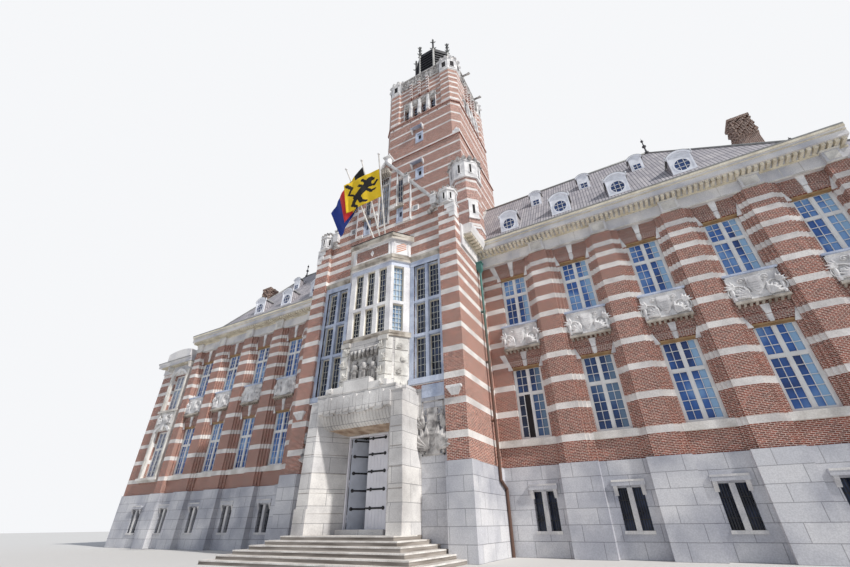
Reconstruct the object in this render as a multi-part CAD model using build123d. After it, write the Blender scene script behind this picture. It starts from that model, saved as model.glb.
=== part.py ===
from build123d import *
import os
from math import atan2, cos, degrees, radians, sin

# A brick and limestone courthouse as a 1:2 scale model, in millimetres of the model.
# X runs along the street front, -Y faces the street, Z is up. The origin is on the
# ground, on the axis of the entrance, under the outer face of the two wings.

# Wings
BAY = 2100
BAYS = 5
FIRST_WINDOW_X = 4240
WINDOW_W = 900
WING_END_X = 16550
WING_DEPTH = 6930
WALL_T = 270
PLINTH_TOP = 2100
PLINTH_OUT = 60
LOWER_SILL = 2820
LOWER_HEAD = 4995
UPPER_SILL = 6455
UPPER_HEAD = 8335
FRIEZE_Z = 8920
FRIEZE_TOP = 9380
CORONA_Z = 9480
EAVES_Z = 9850
REVEAL = 110
FRAME_T = 60
FRAME_W = 55
GLASS_T = 10
GLASS_OVER = 40
PILASTER_W = 620
PILASTER_OUT = 200
STEP_W = 95
STEP_OUTS = (135, 70)
LAST_PILASTER_X = 13430
LAST_PILASTER_W = 480
BASE_W = 980
BASE_OUT_TOP = 250
BASE_OUT_FOOT = 330
CELLAR_SILL = 570
CELLAR_HEAD = 1470
CELLAR_W = 250
CELLAR_GAP = 110
HOOD_UP = 40
HOOD_H = 130
HOOD_OUT = 90
HOOD_OVER = 80
SILL_H = 110
SILL_OUT = 60
COURSE_H = 190
PANEL_W = 1020
PANEL_SILL_OVER = 25
PANEL_H = 690
PANEL_OUT = 90
SHELF_H = 130
SHELF_OUT = 80
CORNICE_OUT = 560
FRIEZE_OUT = 130
FRIEZE_BLOCK_SHARE = 0.8
FRIEZE_BLOCK_OUT = 230
GUTTER_LIP = 60
SIDE_CORNICE_OUT = 405
SIDE_CORNICE_Y = -1770

# End bays
END_BAY_X = 14800
END_WINDOW_W = 1060
END_SURROUND_W = 1540
END_SURROUND_OUT = 120
WING_CORNICE_END_X = 13850
END_UPPER_SILL = 6030
END_UPPER_HEAD = 7960
END_FRIEZE_Z = 8200
END_EAVES_Z = 8800
END_CORNICE_OUT = 400
END_HOOD_W = 2000
END_HOOD_TOP = 9300
END_HOOD_RISE = 120

# Floors and roofs
FLOOR_T = 150
MAIN_FLOOR_Z = 2300
UPPER_FLOOR_Z = 5935
RIDGE_Z = 14900
ROOF_T = 150
ROOF_FOOT_Y = -40
MAIN_ROOF_END_X = 13750
END_ROOF_END_X = 16500
END_RIDGE_Z = 12600
END_HIP_RUN = 1850
DORMERS = 4
DORMER_W = 680
DORMER_FACE_Y = 780
DORMER_EYE_UP = 330
DORMER_SHOULDER_UP = 770
DORMER_TOP_UP = 1000
DORMER_EYE_R = 225
DORMER_EYE_DEPTH = 60
SMALL_DORMER_W = 470
SMALL_DORMER_FACE_Y = 2150
SMALL_DORMER_WINDOW_UP = 170
SMALL_DORMER_WINDOW_W = 260
SMALL_DORMER_SHOULDER_UP = 620
SMALL_DORMER_TOP_UP = 880
CHIMNEY_X = 13550
CHIMNEY_W = 620
CHIMNEY_TOP = 14800
CHIMNEY_CAP_H = 120
CHIMNEY_CAP_OUT = 60

# Centre block
CENTRE_X = 3140
PIER_W = 630
PIER_Y = -2330
PIER_OUT = 90
PIER_TOP = 10620
CENTRE_WALL_Y = -2200
FLANK_IN = 1443
FLANK_OUT = 2386
FLANK_SILL = 4390
FLANK_HEAD = 8400
FLANK_TRANSOMS = (5800, 7015)
FLANK_REVEAL = 60
FLANK_T = 120
MULLION_W = 110
CENTRE_FLOOR_Z = 4210
PINNACLE_R = 340
PINNACLE_SHAFT_H = 620
PINNACLE_CAP_H = 330
CAP_RIM_OUT = 45
CAP_RIM_H = 90
GABLE_APEX = 14330
KNEELER_X = 2500
KNEELER_Z = 10800
COPING_T = 130
COPING_OVER = 60
RIDGE_DROP = 180
GABLE_WINDOW_W = 450
GABLE_WINDOW_SILL = 10900
GABLE_WINDOW_HEAD = 13450
GABLE_WINDOW_DEPTH = 120
GABLE_STRIPS = ((320, 630, 11600), (960, 1285, 10620))
GABLE_STRIP_OUT = 60
GABLE_SIDE_WINDOW_X = 795
GABLE_SIDE_WINDOW_W = 200
GABLE_SIDE_WINDOW_Z = (10750, 11400)
APEX_STONE_R = 150
APEX_STONE_H = 310

# Portal, doors and steps
DOOR_HALF_W = 700
DOOR_HEAD = 2980
DOOR_Y = -2305
PORTAL_Y = -3082
PORTAL_HALF_W = 1700
PORTAL_TOP_HALF_W = 1612
BUTTRESS_TOP = 3900
PORTAL_TOP = 4083
PORTAL_TIERS = ((1560, -2790), (1400, -3082))
PORTAL_CREST = ((1092, 4254), (472, 4426))
PORTAL_MOUTH_HALF_W = 1270
PORTAL_MOUTH_HEAD = 3490
PORTAL_FOOT_TOP = 1128
PORTAL_FOOT_OUT = 45
VOUSSOIRS = 9
VOUSSOIR_DROP = 60
VOUSSOIR_H = 340
RISER = 90
RISERS = 6
TREAD = 250
LANDING_HALF_W = 1700
LANDING_Y = -3445
LEAF_T = 50
LEAF_GAP = 6
MEETING_GAP = 5
FRAME_POST = 40
HINGE_R = 14
PIN_R = 8
PIN_CLEARANCE = 0.3
HINGE_SIDE_GAP = 3
HINGE_BACK_GAP = 1
HINGE_LEVELS = (900, 1750, 2600)
KNUCKLE_H = 60
LEFT_LEAF_OPEN = 50
STRAP_LEVELS = (760, 1190, 1620, 2050, 2480)
STRAP_L = 520
STRAP_H = 46
STRAP_T = 12

# Oriel
ORIEL_BASE_HALF_W = 800
ORIEL_BASE_BACK_HALF_W = 1320
ORIEL_BASE_Y = -2800
RELIEF_HALF_W = 540
RELIEF_DEPTH = 130
RELIEF_Z = (4210, 5390)
ORIEL_HALF_W = 850
ORIEL_BACK_HALF_W = 1300
ORIEL_Y = -2720
ORIEL_SILL_Z = 5745
ORIEL_LIGHT_Z = 5910
ORIEL_TRANSOM_Z = 6975
ORIEL_HEAD_Z = 8450
ORIEL_CORNICE_Z = (8576, 8819)
ORIEL_TOP = 9737
ORIEL_WALL = 130
ORIEL_LIGHTS = 3
ORIEL_LIGHT_W = 330
ORIEL_LIGHT_PITCH = 490
ORIEL_SIDE_LIGHT = (0.14, 0.66)
ORIEL_PARAPET_Z = 9490
ORIEL_SILL_OUT = 65
ORIEL_TOP_OUT = 110

# Tower
TOWER_Y = 740
SHAFT_HALF_W = 2420
SHAFT_T = 350
SHAFT_TOP = 18450
SHAFT_LEDGE_H = 140
SHAFT_LEDGE_OUT = 60
STAGE_CHAMFER = 400
STAGE_TOP = 21500
STRING_H = 110
STRING_OUT = 50
BELFRY_IN = 90
BELFRY_T = 300
BELFRY_TOP = 24900
PARAPET_TOP = 25750
PARAPET_T = 200
DECK_T = 200
BELFRY_SILL = 21700
BELFRY_HEAD = 22750
BELFRY_LIGHTS = 4
BELFRY_LIGHT_W = 360
BELFRY_LIGHT_PITCH = 590
CORNER_TURRET_R = 720
CORNER_TURRET_TOP = 25800
CORNER_RIM_OUT = 40
CORNER_RIM_H = 150
CORNER_CAP_H = 800
TOWER_WINDOW_W = 260
TOWER_WINDOW_H = 600
SHAFT_WINDOW_Z = 16590
STAGE_WINDOW_Z = 19480
TOWER_DOOR_HALF_W = 900
STAIR_TURRET_X = 2620
STAIR_TURRET_Y = 425
STAIR_TURRET_R = 650
STAIR_TURRET_FOOT = 10150
STAIR_TURRET_TOP = 15000
STAIR_STAGE_H = 960
STAIR_STAGE_OUT = 60
STAIR_CAP_H = 480
LANTERN_R = 1440
LANTERN_H = 5050
LANTERN_WALL = 180
LANTERN_POST_R = 70
FINIAL_H = 1140

# Flags and pipes
POLE_R = 28
POLE_L = 3425
POLE_Y = -2355
POLE_LEAN = 28.7
POLE_XS = (-91, 115, 295)
POLE_FANS = (-9.0, 0.4, 10.5)
FLAG_L = 1500
FLAG_H = 1050
FLAG_T = 12
FLAG_FEET = (1825, 2115, 1805)
FLAG_SWING = 14
FLAG_CLEARANCE = 0.3
PIPE_R = 42
PIPE_Y = -550
PIPE_FOOT_Y = -150
PIPE_JOG_Z = (1570, 1757)
PIPE_CLIP_ZS = (3300, 5100, 6900)
PIPE_CLIP_H = 50
PIPE_GAP = 10
HOPPER_W = 170
HOPPER_H = 300

BACK_Y = WING_DEPTH
TOWER_MID_Y = TOWER_Y + SHAFT_HALF_W
TOWER_BACK_Y = TOWER_Y + 2 * SHAFT_HALF_W
LANDING_Z = RISER * RISERS
SIDE_IN_X = CENTRE_X - WALL_T
ROOF_RUN = WING_DEPTH / 2 - ROOF_FOOT_Y
ROOF_SLOPE = (RIDGE_Z - EAVES_Z) / ROOF_RUN
TOWER_IN = SHAFT_HALF_W - SHAFT_T
CENTRE_RIDGE = GABLE_APEX - RIDGE_DROP
BELFRY_HALF_W = SHAFT_HALF_W - BELFRY_IN
LANTERN_TOP = BELFRY_TOP + DECK_T + LANTERN_H
FINIAL_TOP = LANTERN_TOP + FINIAL_H
BEYOND = 2 * WING_END_X
LEAF_Y0 = DOOR_Y + 55
LEAF_Y1 = LEAF_Y0 + LEAF_T
LEAF_EDGE_X = DOOR_HALF_W - FRAME_POST - LEAF_GAP
HINGE_X = LEAF_EDGE_X + HINGE_SIDE_GAP
HINGE_Y = LEAF_Y1 + HINGE_R + HINGE_BACK_GAP


def block(x0, x1, y0, y1, z0, z1):
    """A box given by its limits along each axis."""
    centre = Pos((x0 + x1) / 2, (y0 + y1) / 2, (z0 + z1) / 2)
    return centre * Box(x1 - x0, y1 - y0, z1 - z0)


def mirrored(shapes):
    """The shapes and their mirror images across the axis of the entrance."""
    return list(shapes) + [mirror(s, about=Plane.YZ) for s in shapes]


def prism_x(points, x0, x1):
    """An outline in (y, z) pushed along X."""
    face = make_face(Polyline(*[(x0, y, z) for y, z in points], close=True))
    return extrude(face, amount=x1 - x0, dir=(1, 0, 0))


def prism_y(points, y0, y1):
    """An outline in (x, z) pushed along Y."""
    face = make_face(Polyline(*[(x, y0, z) for x, z in points], close=True))
    return extrude(face, amount=y1 - y0, dir=(0, 1, 0))


def prism_z(points, z0, z1):
    """An outline in (x, y) pushed upwards."""
    face = make_face(Polyline(*[(x, y, z0) for x, y in points], close=True))
    return extrude(face, amount=z1 - z0, dir=(0, 0, 1))


def octagon(x, y, r, z0, z1, r_top=None):
    """An upright octagonal shaft, flat to the front, tapering to r_top."""
    def ring(radius, z):
        angles = [radians(22.5 + 45 * k) for k in range(8)]
        return Polyline(*[(x + radius * cos(a), y + radius * sin(a), z) for a in angles],
                        close=True)
    if r_top is None:
        return extrude(make_face(ring(r, z0)), amount=z1 - z0, dir=(0, 0, 1))
    return loft([make_face(ring(r, z0)), make_face(ring(r_top, z1))])


def dome(x, y, r, z0, z1):
    """A pointed eight-sided dome over a drum of radius r."""
    rings = ((1.0, 0.0), (0.95, 0.25), (0.78, 0.52), (0.50, 0.76), (0.06, 1.0))
    cap = None
    for (r0, h0), (r1, h1) in zip(rings[:-1], rings[1:]):
        part = octagon(x, y, r * r0, z0 + (z1 - z0) * h0, z0 + (z1 - z0) * h1, r * r1)
        cap = part if cap is None else cap + part
    return cap


def window_xs():
    """Centres of the windows of the right wing."""
    return [FIRST_WINDOW_X + BAY * k for k in range(BAYS)]


def pilaster_places():
    """Centre, width and side steps of each pilaster; the last one is narrow and plain."""
    full = [(x + BAY / 2, PILASTER_W, STEP_OUTS) for x in window_xs()[:-1]]
    return full + [(LAST_PILASTER_X, LAST_PILASTER_W, ())]


def storeys(x=0):
    """Sill and head of the windows at x; the end bays have a lower upper storey."""
    if abs(x) < WING_CORNICE_END_X:
        return ((LOWER_SILL, LOWER_HEAD), (UPPER_SILL, UPPER_HEAD))
    return ((LOWER_SILL, LOWER_HEAD), (END_UPPER_SILL, END_UPPER_HEAD))


def hole(x, w, z0, z1, y0, y1):
    return block(x - w / 2, x + w / 2, y0 - 1, y1 + 1, z0, z1)


def side_windows_y():
    """Middle of each window in an end wall, as a distance from the front."""
    span = WING_DEPTH / 3
    return [span * (k + 0.5) for k in range(3)]


def two_height_wall(y0, y1):
    """A wall along the wing, lower along the end bay."""
    wall = block(CENTRE_X, WING_CORNICE_END_X, y0, y1, PLINTH_TOP, FRIEZE_Z)
    return wall + block(WING_CORNICE_END_X, WING_END_X, y0, y1, PLINTH_TOP, END_FRIEZE_Z)


def front_wall():
    wall = two_height_wall(0, WALL_T)
    holes = [hole(x, WINDOW_W, a, b, 0, WALL_T) for x in window_xs() for a, b in storeys(x)]
    holes += [hole(END_BAY_X, END_WINDOW_W, a, b, 0, WALL_T) for a, b in storeys(END_BAY_X)]
    return wall - holes


def front_plinth():
    wall = block(CENTRE_X, WING_END_X, -PLINTH_OUT, WALL_T, 0, PLINTH_TOP)
    foot = [(-PLINTH_OUT, 0), (-BASE_OUT_FOOT, 0), (-BASE_OUT_TOP, PLINTH_TOP),
            (-PLINTH_OUT, PLINTH_TOP)]
    spread = (BASE_W - PILASTER_W) / 2
    for x, w, _ in pilaster_places():
        wall += prism_x(foot, x - w / 2 - spread, x + w / 2 + spread)
    hood_z = CELLAR_HEAD + HOOD_UP
    hood = CELLAR_W * 2 + CELLAR_GAP + 2 * HOOD_OVER
    for x in window_xs() + [END_BAY_X]:
        wall += block(x - hood / 2, x + hood / 2, -PLINTH_OUT - HOOD_OUT, -PLINTH_OUT,
                      hood_z, hood_z + HOOD_H)
        for side in (-1, 1):
            middle = x + side * (CELLAR_W + CELLAR_GAP) / 2
            wall -= hole(middle, CELLAR_W, CELLAR_SILL, CELLAR_HEAD, -PLINTH_OUT, WALL_T)
    return wall


def end_wall(z0, z1, out):
    return block(WING_END_X - WALL_T, WING_END_X + out, WALL_T, BACK_Y - WALL_T, z0, z1)


def end_wall_brick():
    wall = end_wall(PLINTH_TOP, END_FRIEZE_Z, 0)
    for y in side_windows_y():
        for a, b in storeys(WING_END_X):
            wall -= block(WING_END_X - WALL_T - 1, WING_END_X + 1,
                          y - WINDOW_W / 2, y + WINDOW_W / 2, a, b)
    return wall


def rear_xs():
    """Centres of the rear windows, on both wings and behind the tower."""
    right = window_xs() + [END_BAY_X]
    return [-x for x in right] + [-BAY / 2, BAY / 2] + right


def back_wall():
    y0 = BACK_Y - WALL_T
    half = two_height_wall(y0, BACK_Y)
    wall = block(-CENTRE_X, CENTRE_X, y0, BACK_Y, PLINTH_TOP, FRIEZE_Z) + mirrored([half])
    for x in rear_xs():
        for a, b in storeys(x):
            wall -= hole(x, WINDOW_W, a, b, y0, BACK_Y)
    return wall


def back_plinth():
    return block(-WING_END_X, WING_END_X, BACK_Y - WALL_T, BACK_Y + PLINTH_OUT, 0, PLINTH_TOP)


def pilaster_outline(w, steps):
    """Plan of a pilaster with its side steps, as (x, y)."""
    right = [(w / 2, -PILASTER_OUT)]
    x = w / 2
    for out in steps:
        right += [(x, -out), (x + STEP_W, -out)]
        x += STEP_W
    right.append((x, 0))
    return [(-x, y) for x, y in reversed(right)] + right


def pilasters():
    return [Pos(x, 0, 0) * prism_z(pilaster_outline(w, steps), PLINTH_TOP, FRIEZE_Z)
            for x, w, steps in pilaster_places()]


def sill_courses():
    """Stone band under the lower windows, in lengths between the pilasters."""
    edges = [CENTRE_X]
    for x, w, steps in pilaster_places():
        half = w / 2 + len(steps) * STEP_W
        edges += [x - half, x + half]
    return [block(a, b, -SILL_OUT, 0, LOWER_SILL - COURSE_H, LOWER_SILL)
            for a, b in zip(edges[0::2], edges[1::2])]


def relief_panels():
    """Moulded sill, carved panel and shelf below each upper window."""
    pieces = []
    half = PANEL_W / 2
    top = UPPER_SILL
    foot = top - PANEL_H
    shelf = [(0, foot - SHELF_H), (0, foot), (-PANEL_OUT - SHELF_OUT, foot),
             (-PANEL_OUT - SHELF_OUT, foot - SHELF_H / 2), (-SHELF_OUT / 2, foot - SHELF_H)]
    for x in window_xs():
        panel = block(x - half, x + half, -PANEL_OUT, 0, foot, top - SILL_H)
        panel += block(x - half - PANEL_SILL_OVER, x + half + PANEL_SILL_OVER,
                       -PANEL_OUT - SILL_OUT, 0, top - SILL_H, top)
        pieces.append(panel + prism_x(shelf, x - half, x + half))
    return pieces


def cornice_profile(base, out, z0, z1):
    """A cornice slab with its gutter lip above a bed moulding, as (y, z)."""
    mid = z0 + (z1 - z0) * 0.55
    return [(base, z0), (-out + GUTTER_LIP, z0), (-out + GUTTER_LIP, mid), (-out, mid + GUTTER_LIP),
            (-out, z1), (base, z1)]


def wing_cornice():
    """Entablature over the five bays, and the lower one with its hood over the end bay."""
    end = WING_CORNICE_END_X
    body = block(CENTRE_X, end, -FRIEZE_OUT, WALL_T, FRIEZE_Z, CORONA_Z)
    for x, w, _ in pilaster_places():
        half = w * FRIEZE_BLOCK_SHARE / 2
        body += block(x - half, x + half, -FRIEZE_BLOCK_OUT, -FRIEZE_OUT, FRIEZE_Z, FRIEZE_TOP)
    bed = [(-FRIEZE_OUT, FRIEZE_TOP), (-FRIEZE_BLOCK_OUT - GUTTER_LIP, CORONA_Z),
           (-FRIEZE_OUT, CORONA_Z)]
    body += prism_x(bed, CENTRE_X, end)
    body += prism_x(cornice_profile(WALL_T, CORNICE_OUT, CORONA_Z, EAVES_Z), CENTRE_X, end)
    body += block(end - WALL_T, end, WALL_T, BACK_Y - WALL_T, FRIEZE_Z, EAVES_Z)
    return body + end_bay_cornice()


def end_bay_cornice():
    """Frieze, cornice and segmental hood over the window of the end bay."""
    start = WING_CORNICE_END_X
    slab_z = (END_FRIEZE_Z + END_EAVES_Z) / 2
    band = block(start, WING_END_X, -SILL_OUT, WALL_T, END_FRIEZE_Z, END_EAVES_Z)
    band += prism_x(cornice_profile(-SILL_OUT, END_CORNICE_OUT, slab_z + GUTTER_LIP, END_EAVES_Z),
                    start, WING_END_X + END_CORNICE_OUT / 2)
    x0 = start
    x1 = start + END_HOOD_W
    y = ROOF_FOOT_Y
    spring = END_HOOD_TOP - END_HOOD_RISE
    arch = ThreePointArc((x0, y, spring), ((x0 + x1) / 2, y, END_HOOD_TOP), (x1, y, spring))
    sides = Polyline((x1, y, spring), (x1, y, END_EAVES_Z), (x0, y, END_EAVES_Z), (x0, y, spring))
    hood = extrude(make_face([arch, sides]), amount=END_CORNICE_OUT + GUTTER_LIP + y,
                   dir=(0, -1, 0))
    return band + hood


def end_entablature():
    """Stone band on an end wall, under the eaves."""
    return block(WING_END_X - WALL_T, WING_END_X + SILL_OUT, WALL_T, BACK_Y,
                 END_FRIEZE_Z, END_EAVES_Z)


def back_entablature():
    """Entablature of the rear, lower behind the end bays."""
    y0 = BACK_Y - WALL_T
    face = BACK_Y + SILL_OUT
    pieces = None
    for x0, x1, low, high in ((-WING_CORNICE_END_X, WING_CORNICE_END_X, FRIEZE_Z, EAVES_Z),
                              (WING_CORNICE_END_X, WING_END_X - WALL_T, END_FRIEZE_Z, END_EAVES_Z),
                              (WALL_T - WING_END_X, -WING_CORNICE_END_X, END_FRIEZE_Z, END_EAVES_Z)):
        slab = high - (high - low) / 3
        profile = [(y0, low), (face, low), (face, slab), (face + PANEL_OUT * 2, slab),
                   (face + PANEL_OUT * 2, high), (y0, high)]
        piece = prism_x(profile, x0, x1)
        pieces = piece if pieces is None else pieces + piece
    return pieces


def end_surround():
    """Stone frame of the two-tier window of an end bay, with its panel between."""
    half = END_SURROUND_W / 2
    z0 = LOWER_SILL - COURSE_H
    frame = block(END_BAY_X - half, END_BAY_X + half, -END_SURROUND_OUT, 0, z0, END_FRIEZE_Z)
    for a, b in storeys(END_BAY_X):
        frame -= hole(END_BAY_X, END_WINDOW_W, a, b, -END_SURROUND_OUT, 0)
    for top in (LOWER_SILL, END_UPPER_SILL):
        frame += block(END_BAY_X - half - SILL_OUT, END_BAY_X + half + SILL_OUT,
                       -END_SURROUND_OUT - SILL_OUT, -END_SURROUND_OUT, top - SILL_H, top)
    return frame - block(WING_END_X - 1, BEYOND, -WALL_T, 0, 0, END_FRIEZE_Z)


def window_frame(x, w, z0, z1, y0, lights=2, transom=0.39):
    """A wooden frame with a middle post and a transom, standing in its opening."""
    frame = block(x - w / 2, x + w / 2, y0, y0 + FRAME_T, z0, z1)
    split = z1 - (z1 - z0) * transom
    inner = w - 2 * FRAME_W
    pane = (inner - FRAME_W * (lights - 1)) / lights
    for k in range(lights):
        left = x - w / 2 + FRAME_W + k * (pane + FRAME_W)
        for a, b in ((z0 + FRAME_W, split - FRAME_W / 2), (split + FRAME_W / 2, z1 - FRAME_W)):
            frame -= block(left, left + pane, y0 - 1, y0 + FRAME_T + 1, a, b)
    return frame


def wing_frames():
    pieces = [window_frame(x, WINDOW_W, a, b, REVEAL) for x in window_xs() for a, b in storeys()]
    pieces += [window_frame(END_BAY_X, END_WINDOW_W, a, b, REVEAL, 3)
               for a, b in storeys(END_BAY_X)]
    return pieces


def pane(x, w, z0, z1, y0):
    return block(x - w / 2, x + w / 2, y0, y0 + GLASS_T, z0, z1)


def wing_glass():
    y = REVEAL + FRAME_T
    pieces = [pane(x, WINDOW_W, a, b, y) for x in window_xs() for a, b in storeys()]
    pieces += [pane(END_BAY_X, END_WINDOW_W, a, b, y) for a, b in storeys(END_BAY_X)]
    for x in window_xs() + [END_BAY_X]:
        for side in (-1, 1):
            middle = x + side * (CELLAR_W + CELLAR_GAP) / 2
            pieces.append(pane(middle, CELLAR_W, CELLAR_SILL, CELLAR_HEAD, REVEAL))
    return pieces


def rear_frames():
    y = BACK_Y - REVEAL - FRAME_T
    return [window_frame(x, WINDOW_W, a, b, y) for x in rear_xs() for a, b in storeys(x)]


def end_frames():
    turn = Pos(WING_END_X, 0, 0) * Rot(0, 0, 90)
    return [turn * window_frame(y, WINDOW_W, a, b, REVEAL)
            for y in side_windows_y() for a, b in storeys(WING_END_X)]


def rear_glass():
    """One sheet a storey closes the rear windows of a wing from inside."""
    pieces = []
    y = BACK_Y - WALL_T
    for a, b in storeys():
        pieces.append(block(CENTRE_X + WALL_T, WING_CORNICE_END_X - WALL_T, y - GLASS_T, y,
                            a - GLASS_OVER, b + GLASS_OVER))
    half = WINDOW_W / 2 + GLASS_OVER
    for a, b in storeys(END_BAY_X):
        pieces.append(block(END_BAY_X - half, END_BAY_X + half, y - GLASS_T, y,
                            a - GLASS_OVER, b + GLASS_OVER))
    return pieces


def middle_rear_glass():
    y = BACK_Y - REVEAL - FRAME_T - GLASS_T
    return [pane(x, WINDOW_W, a, b, y) for x in (-BAY / 2, BAY / 2) for a, b in storeys()]


def end_glass():
    """One sheet a storey closes the windows of an end wall from inside."""
    x = WING_END_X - WALL_T
    ys = side_windows_y()
    over = WINDOW_W / 2 + GLASS_OVER
    return [block(x - GLASS_T, x, ys[0] - over, ys[-1] + over, a - GLASS_OVER, b + GLASS_OVER)
            for a, b in storeys(WING_END_X)]


def wing_floors():
    """Floor slabs of the cellar, the two storeys and the attic of one wing."""
    y0 = WALL_T
    y1 = BACK_Y - WALL_T
    end = WING_END_X - WALL_T
    slabs = [block(CENTRE_X, end, y0, y1, top - FLOOR_T, top)
             for top in (FLOOR_T, MAIN_FLOOR_Z, UPPER_FLOOR_Z)]
    slabs.append(block(CENTRE_X, WING_CORNICE_END_X - WALL_T, y0, y1, FRIEZE_Z - FLOOR_T, FRIEZE_Z))
    slabs.append(block(WING_CORNICE_END_X, end, y0, y1, END_FRIEZE_Z, END_FRIEZE_Z + FLOOR_T))
    return slabs


def hipped(inset, eaves, ridge, start_x, end_x, run):
    """The solid under a roof with one hip, its planes moved in by inset."""
    slope = (ridge - eaves) / ROOF_RUN
    drop = inset * (1 + slope ** 2) ** 0.5
    y0 = ROOF_FOOT_Y
    y1 = BACK_Y - ROOF_FOOT_Y
    z = eaves - drop
    top = ridge - drop
    along = prism_x([(y0, z), ((y0 + y1) / 2, top), (y1, z)], start_x, end_x)
    hip_slope = (ridge - eaves) / run
    back = (inset * (1 + hip_slope ** 2) ** 0.5 - drop) / hip_slope
    end = end_x - back
    over = top + ROOF_RUN
    across = prism_y([(0, z), (0, over), (end - run, over), (end - run, top), (end, z)],
                     y0 - 1, y1 + 1)
    return along & across


def roof_solid(inset):
    """The solid under the roofs of the right wing, main and end bay, moved in by inset."""
    main = hipped(inset, EAVES_Z, RIDGE_Z, SHAFT_HALF_W, MAIN_ROOF_END_X, ROOF_RUN)
    end = hipped(inset, END_EAVES_Z, END_RIDGE_Z, MAIN_ROOF_END_X - ROOF_RUN, END_ROOF_END_X,
                 END_HIP_RUN)
    return main + end


def wing_roof():
    shell = roof_solid(0) - roof_solid(ROOF_T)
    rear = BACK_Y + WING_DEPTH
    shell -= block(0, WING_CORNICE_END_X, -WING_DEPTH, rear, 0, EAVES_Z)
    shell -= block(WING_CORNICE_END_X - 1, BEYOND, -WING_DEPTH, rear, 0, END_EAVES_Z)
    shell -= block(0, CENTRE_X, -WING_DEPTH, TOWER_Y, 0, BEYOND)
    shell -= block(0, CENTRE_X, TOWER_BACK_Y, rear, 0, BEYOND)
    return shell - block(0, SHAFT_HALF_W, -WING_DEPTH, rear, 0, BEYOND)


def roof_z(y):
    """Height of the front slope of the main roof."""
    return EAVES_Z + ROOF_SLOPE * (y - ROOF_FOOT_Y)


def gabled_dormer(x, y, w, shoulder_up, top_up):
    """Body of a dormer with a low gable, dying back into the roof."""
    z = roof_z(y)
    half = w / 2
    outline = [(x - half, z - w), (x + half, z - w), (x + half, z + shoulder_up),
               (x, z + top_up), (x - half, z + shoulder_up)]
    return prism_y(outline, y, y + ROOF_RUN / 3)


def dormers():
    """White dormers with round windows, and a row of small square ones above."""
    roof = roof_solid(0)
    pieces = []
    eye_z = roof_z(DORMER_FACE_Y) + DORMER_EYE_UP
    for x in window_xs()[:DORMERS]:
        body = gabled_dormer(x, DORMER_FACE_Y, DORMER_W, DORMER_SHOULDER_UP, DORMER_TOP_UP)
        eye = (Pos(x, DORMER_FACE_Y, eye_z) * Rot(90, 0, 0)
               * Cylinder(DORMER_EYE_R, 2 * DORMER_EYE_DEPTH))
        pieces.append(body - roof - eye)
    y = SMALL_DORMER_FACE_Y
    z = roof_z(y) + SMALL_DORMER_WINDOW_UP
    half = SMALL_DORMER_WINDOW_W / 2
    for x, _, _ in pilaster_places()[:DORMERS - 1]:
        body = gabled_dormer(x, y, SMALL_DORMER_W, SMALL_DORMER_SHOULDER_UP, SMALL_DORMER_TOP_UP)
        eye = block(x - half, x + half, y - 1, y + DORMER_EYE_DEPTH, z - half, z + half)
        pieces.append(body - roof - eye)
    return pieces


def chimneys():
    half = CHIMNEY_W / 2
    wide = half + CHIMNEY_CAP_OUT
    mid = WING_DEPTH / 2
    stack = block(CHIMNEY_X - half, CHIMNEY_X + half, mid - half, mid + half,
                  END_RIDGE_Z - CHIMNEY_W, CHIMNEY_TOP)
    stack += block(CHIMNEY_X - wide, CHIMNEY_X + wide, mid - wide, mid + wide,
                   CHIMNEY_TOP - CHIMNEY_CAP_H, CHIMNEY_TOP)
    return [stack - roof_solid(0)]


def corner_pier():
    return block(CENTRE_X - PIER_W, CENTRE_X, PIER_Y, CENTRE_WALL_Y + WALL_T,
                 PLINTH_TOP, PIER_TOP)


def pier_base():
    x0 = CENTRE_X - PIER_W
    base = block(x0, CENTRE_X + PIER_OUT, PIER_Y - PIER_OUT, CENTRE_WALL_Y + WALL_T,
                 0, PLINTH_TOP)
    return base


def capped_shaft(x, y, r, z0, z1, cap_h):
    """An octagonal shaft with a projecting rim and a pointed dome."""
    shaft = octagon(x, y, r, z0, z1)
    shaft += octagon(x, y, r + CAP_RIM_OUT, z1 - CAP_RIM_H, z1)
    return shaft + dome(x, y, r, z1, z1 + cap_h)


def centre_roof_solid(y0, y1):
    """The solid under the pitched roof of the centre block."""
    return prism_y([(-CENTRE_X, EAVES_Z), (0, CENTRE_RIDGE), (CENTRE_X, EAVES_Z)], y0, y1)


def pinnacle():
    y = (PIER_Y + CENTRE_WALL_Y + WALL_T) / 2
    shaft = capped_shaft(CENTRE_X - PIER_W / 2, y, PINNACLE_R, PIER_TOP,
                         PIER_TOP + PINNACLE_SHAFT_H, PINNACLE_CAP_H)
    return shaft - centre_roof_solid(CENTRE_WALL_Y + WALL_T, TOWER_Y)


def centre_side_wall():
    y0 = CENTRE_WALL_Y + WALL_T
    return block(SIDE_IN_X, CENTRE_X, y0, BACK_Y - WALL_T, PLINTH_TOP, FRIEZE_Z)


def centre_side_plinth():
    y0 = CENTRE_WALL_Y + WALL_T
    base = block(SIDE_IN_X, CENTRE_X, y0, BACK_Y - WALL_T, 0, PLINTH_TOP)
    return base + block(CENTRE_X, CENTRE_X + PLINTH_OUT, y0, -PLINTH_OUT, 0, PLINTH_TOP)


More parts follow.
